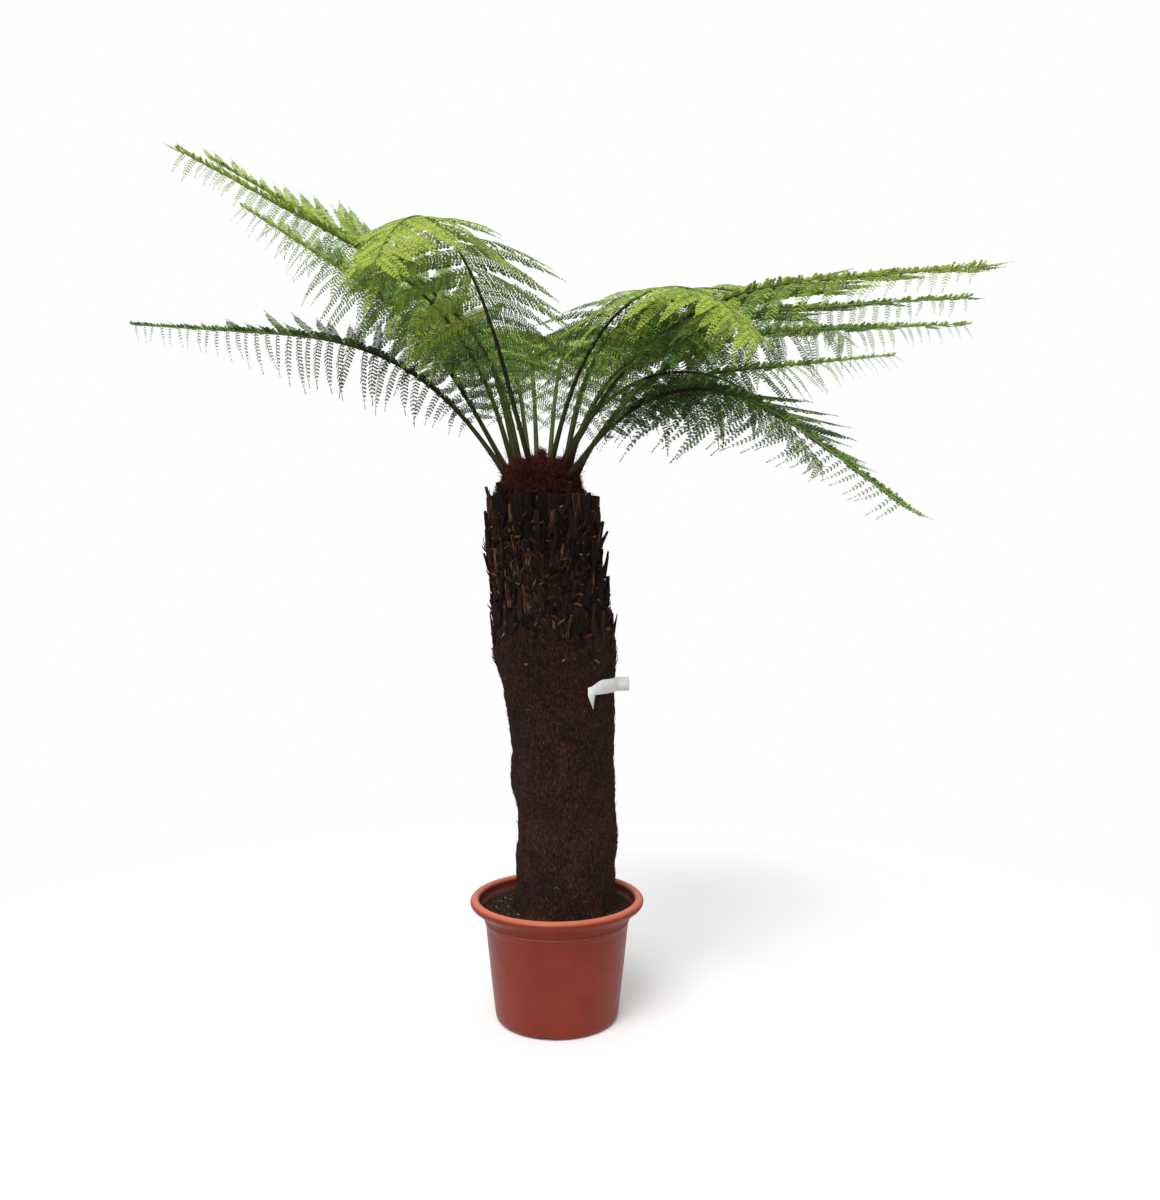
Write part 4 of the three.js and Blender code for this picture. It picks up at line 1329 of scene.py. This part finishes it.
def tints_of(leaflet, count, random):
    """The numbers of the blades' greens: young leaflets are yellower, outer and lifted ones are
    yellower by painted light, as if lit through, and inner ones are deeper by painted shade.
    """
    youth_and_light = (YELLOW_FROM_AGE_AND_LIGHT["start"] + YELLOW_FROM_AGE_AND_LIGHT["age"] * leaflet.frond.age
             + YELLOW_FROM_AGE_AND_LIGHT["rank"] * (leaflet.rank - 0.5) + YELLOW_FROM_AGE_AND_LIGHT["lift"] * leaflet.lift)
    youth_and_light += random.normal(0, LEAFLET_SPREAD)
    shade = (1 - youth_and_light) * (len(GREENS) - 1) + random.normal(0, TINT_SPREAD, count)
    return np.clip(np.round(shade), 0, len(GREENS) - 1)


random = np.random.default_rng(8)
for number, frond in enumerate(fronds, 1):
    own = [leaflet for leaflet in leaflets if leaflet.frond is frond]
    combs = [comb(leaflet, random) for leaflet in own]
    tints = [tints_of(leaflet, len(rows[0]), random) for leaflet, rows in zip(own, combs, strict=True)]
    places, aims, overs, sizes = [np.vstack(rows) for rows in zip(*combs, strict=True)]
    host = make_piece("host", places, [], [], values={
        "aim": aims, "over": overs, "size": sizes, "tint": np.concatenate(tints)})
    foliage = grow(f"frond_{number:02d}_blades", host, blades, {"Blade": blade_shape, **greens})
    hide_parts(f"frond_{number:02d}_inner", f"frond_{number:02d}_outer")
    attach(foliage, "root")

# %% [markdown]
# ## The woolly bud
#
# The growing point hides in a cushion of red-brown wool, with next year's fronds rolled up in it
# like bishops' staffs. The cushion is turned and roughened, the rolled fronds are tubes along a
# spiral, and the wool is the scatter tree again, with soft hairs that stand well off the skin.
# The feet of the stalks carry the same wool, so the fronds seem to grow out of it.

# %% Turn the cushion and roll the young fronds
BUD_PROFILE = [  # radius and height above the foot, from the middle of its underside
    (0, 0.0), (0.150, 0.0), (0.149, 0.010), (0.141, 0.024), (0.134, 0.040), (0.128, 0.052), (0.123, 0.070),
    (0.116, 0.086), (0.100, 0.100), (0.080, 0.108), (0.060, 0.112), (0.035, 0.114), (0, 0.115),
]
ROLLS = [  # bearing and distance from the crown's axis, height, radius of the roll, lean
    (280, 0.020, 0.122, 0.027, 0.15), (130, 0.040, 0.112, 0.024, 0.30), (20, 0.050, 0.104, 0.020, 0.35),
    (300, 0.078, 0.086, 0.019, 0.50), (215, 0.070, 0.098, 0.022, 0.45),
]
BUD_RELIEF = [  # height, size, stretch upwards, octaves, seed
    (0.014, 0.055, 1, 2, 2.0), (0.006, 0.022, 1, 4, 0.0), (0.002, 0.008, 1, 4, 4.0),
]
ROLL_TURNS = 3.1 * math.pi
ROLL_CORE = 0.22  # the innermost radius and, below, the tube's radii, beside the roll's
ROLL_TUBE = (0.42, 0.2)
ROLL_STALK = 1.6


def turn_cushion():
    profile = np.array(BUD_PROFILE)
    distance = np.r_[0, np.cumsum(np.hypot(*np.diff(profile, axis=0).T))]
    steps = np.linspace(0, distance[-1], 60)
    fine = np.stack([np.interp(steps, distance, profile[:, k]) for k in (0, 1)], -1)
    points, faces = turn_profile(fine, 120)
    points += CROWN
    away = points - (CROWN + [0, 0, 0.02])
    away /= np.linalg.norm(away, axis=1, keepdims=True)
    is_foot = points[:, 2] < CROWN[2] + 0.004
    return points + away * np.where(is_foot, 0, relief(points, BUD_RELIEF))[:, None], faces


def roll(bearing, distance, height, radius, lean):
    """A short stalk that ends in a spiral, in a plane through the crown's axis, and its radii."""
    out = facing(math.radians(bearing))
    up = np.array([0, 0, 1]) * math.cos(lean) + out * math.sin(lean)
    inward = out * math.cos(lean) - np.array([0, 0, 1]) * math.sin(lean)
    angles = np.linspace(0, ROLL_TURNS, 40)
    reach = radius * lerp(1, ROLL_CORE, angles / ROLL_TURNS)
    middle = CROWN + out * distance + [0, 0, height]
    spiral = middle + np.outer(reach * np.cos(angles), inward) + np.outer(reach * np.sin(angles), up)
    stalk = spiral[0] + np.outer(np.linspace(-ROLL_STALK * radius, 0, 6)[:-1], up)
    line = np.vstack([stalk, spiral])
    return line, radius * lerp(*ROLL_TUBE, np.linspace(0, 1, len(line)))


wool_skin = grained("wool_skin", "5a2417", 1.0, 0.006, [
    (0.3, "180d0a"), (0.5, "3a1c14"), (0.7, "613022")], (0.006, 0.7, 0.003))
cushion_points, cushion_faces = turn_cushion()
cushion = make_piece("bud_cushion", cushion_points, cushion_faces, [wool_skin])
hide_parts("crown_wool")
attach(cushion, "root")

roll_lines, roll_widths = zip(*[roll(*row) for row in ROLLS], strict=True)
roll_host = line_host("roll_lines", roll_lines, width=roll_widths)
rolls = grow("rolled_fronds", roll_host, tubes, {"Sides": 10, "Finish": wool_skin})
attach(rolls, "root")

# %% Cover the bud and the stalks' feet with wool
WOOL = [  # name, web colour, hairs a square metre, shortest and longest
    ("red_wool", "642c1c", 22000, 0.009, 0.024),
    ("dark_wool", "2e1611", 22000, 0.009, 0.022),
    ("rust_wool", "7f472b", 7000, 0.008, 0.018),
]
WOOLLY_SHARE = 0.085

rib_shares = np.empty(len(ribs.data.vertices), np.float32)
ribs.data.attributes["share"].data.foreach_get("value", rib_shares)
hair = strand("hair", 0.028)
woolly = [  # piece, where it is woolly, share of the full density
    (cushion, cushion_points[:, 2] > CROWN[2] + 0.002, 1.0),
    (rolls, np.ones(len(rolls.data.vertices)), 1.0),
    (ribs, np.clip(1 - rib_shares / WOOLLY_SHARE, 0, 1) ** 1.5, 0.6),
]
for number, (name, code, density, shortest, longest) in enumerate(WOOL):
    for part, (piece, cover, share) in enumerate(woolly):
        grown = strew(
            f"{name}_{part + 1}", piece, cover, hair, density * share, 60 + 10 * number + part, 1.2,
            (0.1, 0.9), (shortest, longest), plain(f"{name}_{part + 1}", code, 1.0))
        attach(grown, "root")

# %% [markdown]
# ## Tidy up and light the stage
#
# The strand, flake, crumb, hair and blade that were scattered have done their work and are
# removed. The stage is a wide pale floor that fades out, under a white sky that gives more
# light from above than from below, with one soft sun high in front for shape. Lamps close to
# the plant would light one frond more than the next, while a sun and a sky light it the same
# from every side that it may be seen from.

# %% Remove the patterns and set the stage
for pattern in (root_strand, bark_flake, crumb_shape, hair, blade_shape):
    bpy.data.objects.remove(pattern)

FLOOR_RADIUS = 3.0
FLOOR_SIDES = 96
FADE_FROM = 1.1
SKY_LIGHT = (0.12, 0.9)  # from below, and from high up
SKY_HEIGHTS = (-0.3, 0.7)
SUN_STRENGTH = 2.4
SUN_SOFTNESS = math.radians(35)
SUN_TURN = (math.radians(34), math.radians(-18), 0)


def floor_finish():
    """White paper that thins out to nothing away from the pot, so that no edge shows."""
    material = plain("floor_paper", "f4f4f4", 0.9)
    tree = material.node_tree
    where = add(tree, "ShaderNodeTexCoord").outputs["Object"]
    distance = add(tree, "ShaderNodeVectorMath", {0: where}, operation="LENGTH").outputs["Value"]
    solid = remap(tree, distance, (FADE_FROM, FLOOR_RADIUS), (1, 0), "SMOOTHSTEP")
    clear = add(tree, "ShaderNodeBsdfTransparent").outputs[0]
    paper = tree.nodes["Principled BSDF"].outputs[0]
    mixed = add(tree, "ShaderNodeMixShader", {0: solid, 1: clear, 2: paper}).outputs[0]
    tree.links.new(mixed, tree.nodes["Material Output"].inputs["Surface"])
    return material


floor = make_piece("floor", FLOOR_RADIUS * facing(around(FLOOR_SIDES)), [tuple(range(FLOOR_SIDES))],
                   [floor_finish()])

world = bpy.data.worlds.new("studio")
scene.world = world
world.use_nodes = True
sky = world.node_tree
direction = add(sky, "ShaderNodeTexCoord").outputs["Generated"]
height = add(sky, "ShaderNodeSeparateXYZ", {0: direction}).outputs["Z"]
strength = remap(sky, height, SKY_HEIGHTS, SKY_LIGHT)
softbox_sky = sky.nodes["Background"]
softbox_sky.inputs["Color"].default_value = colour("ffffff")
sky.links.new(strength, softbox_sky.inputs["Strength"])
backdrop = add(sky, "ShaderNodeBackground", {"Color": colour("ffffff"), "Strength": 1.0}).outputs[0]
seen = add(sky, "ShaderNodeLightPath").outputs["Is Camera Ray"]
either = add(sky, "ShaderNodeMixShader", {0: seen, 1: softbox_sky.outputs[0], 2: backdrop}).outputs[0]
sky.links.new(either, sky.nodes["World Output"].inputs["Surface"])

sun = put("softbox", bpy.data.lights.new("softbox", "SUN"))
sun.data.energy = SUN_STRENGTH
sun.data.angle = SUN_SOFTNESS
sun.rotation_euler = SUN_TURN
scene.view_settings.view_transform = "Standard"

# %% [markdown]
# ## Bring the scene up to date
#
# The finished pieces reach a few centimetres past the plain solids, since single blades reach past
# them. At the end the scene is brought up to date.

# %% Bring the scene up to date
bpy.context.view_layer.update()
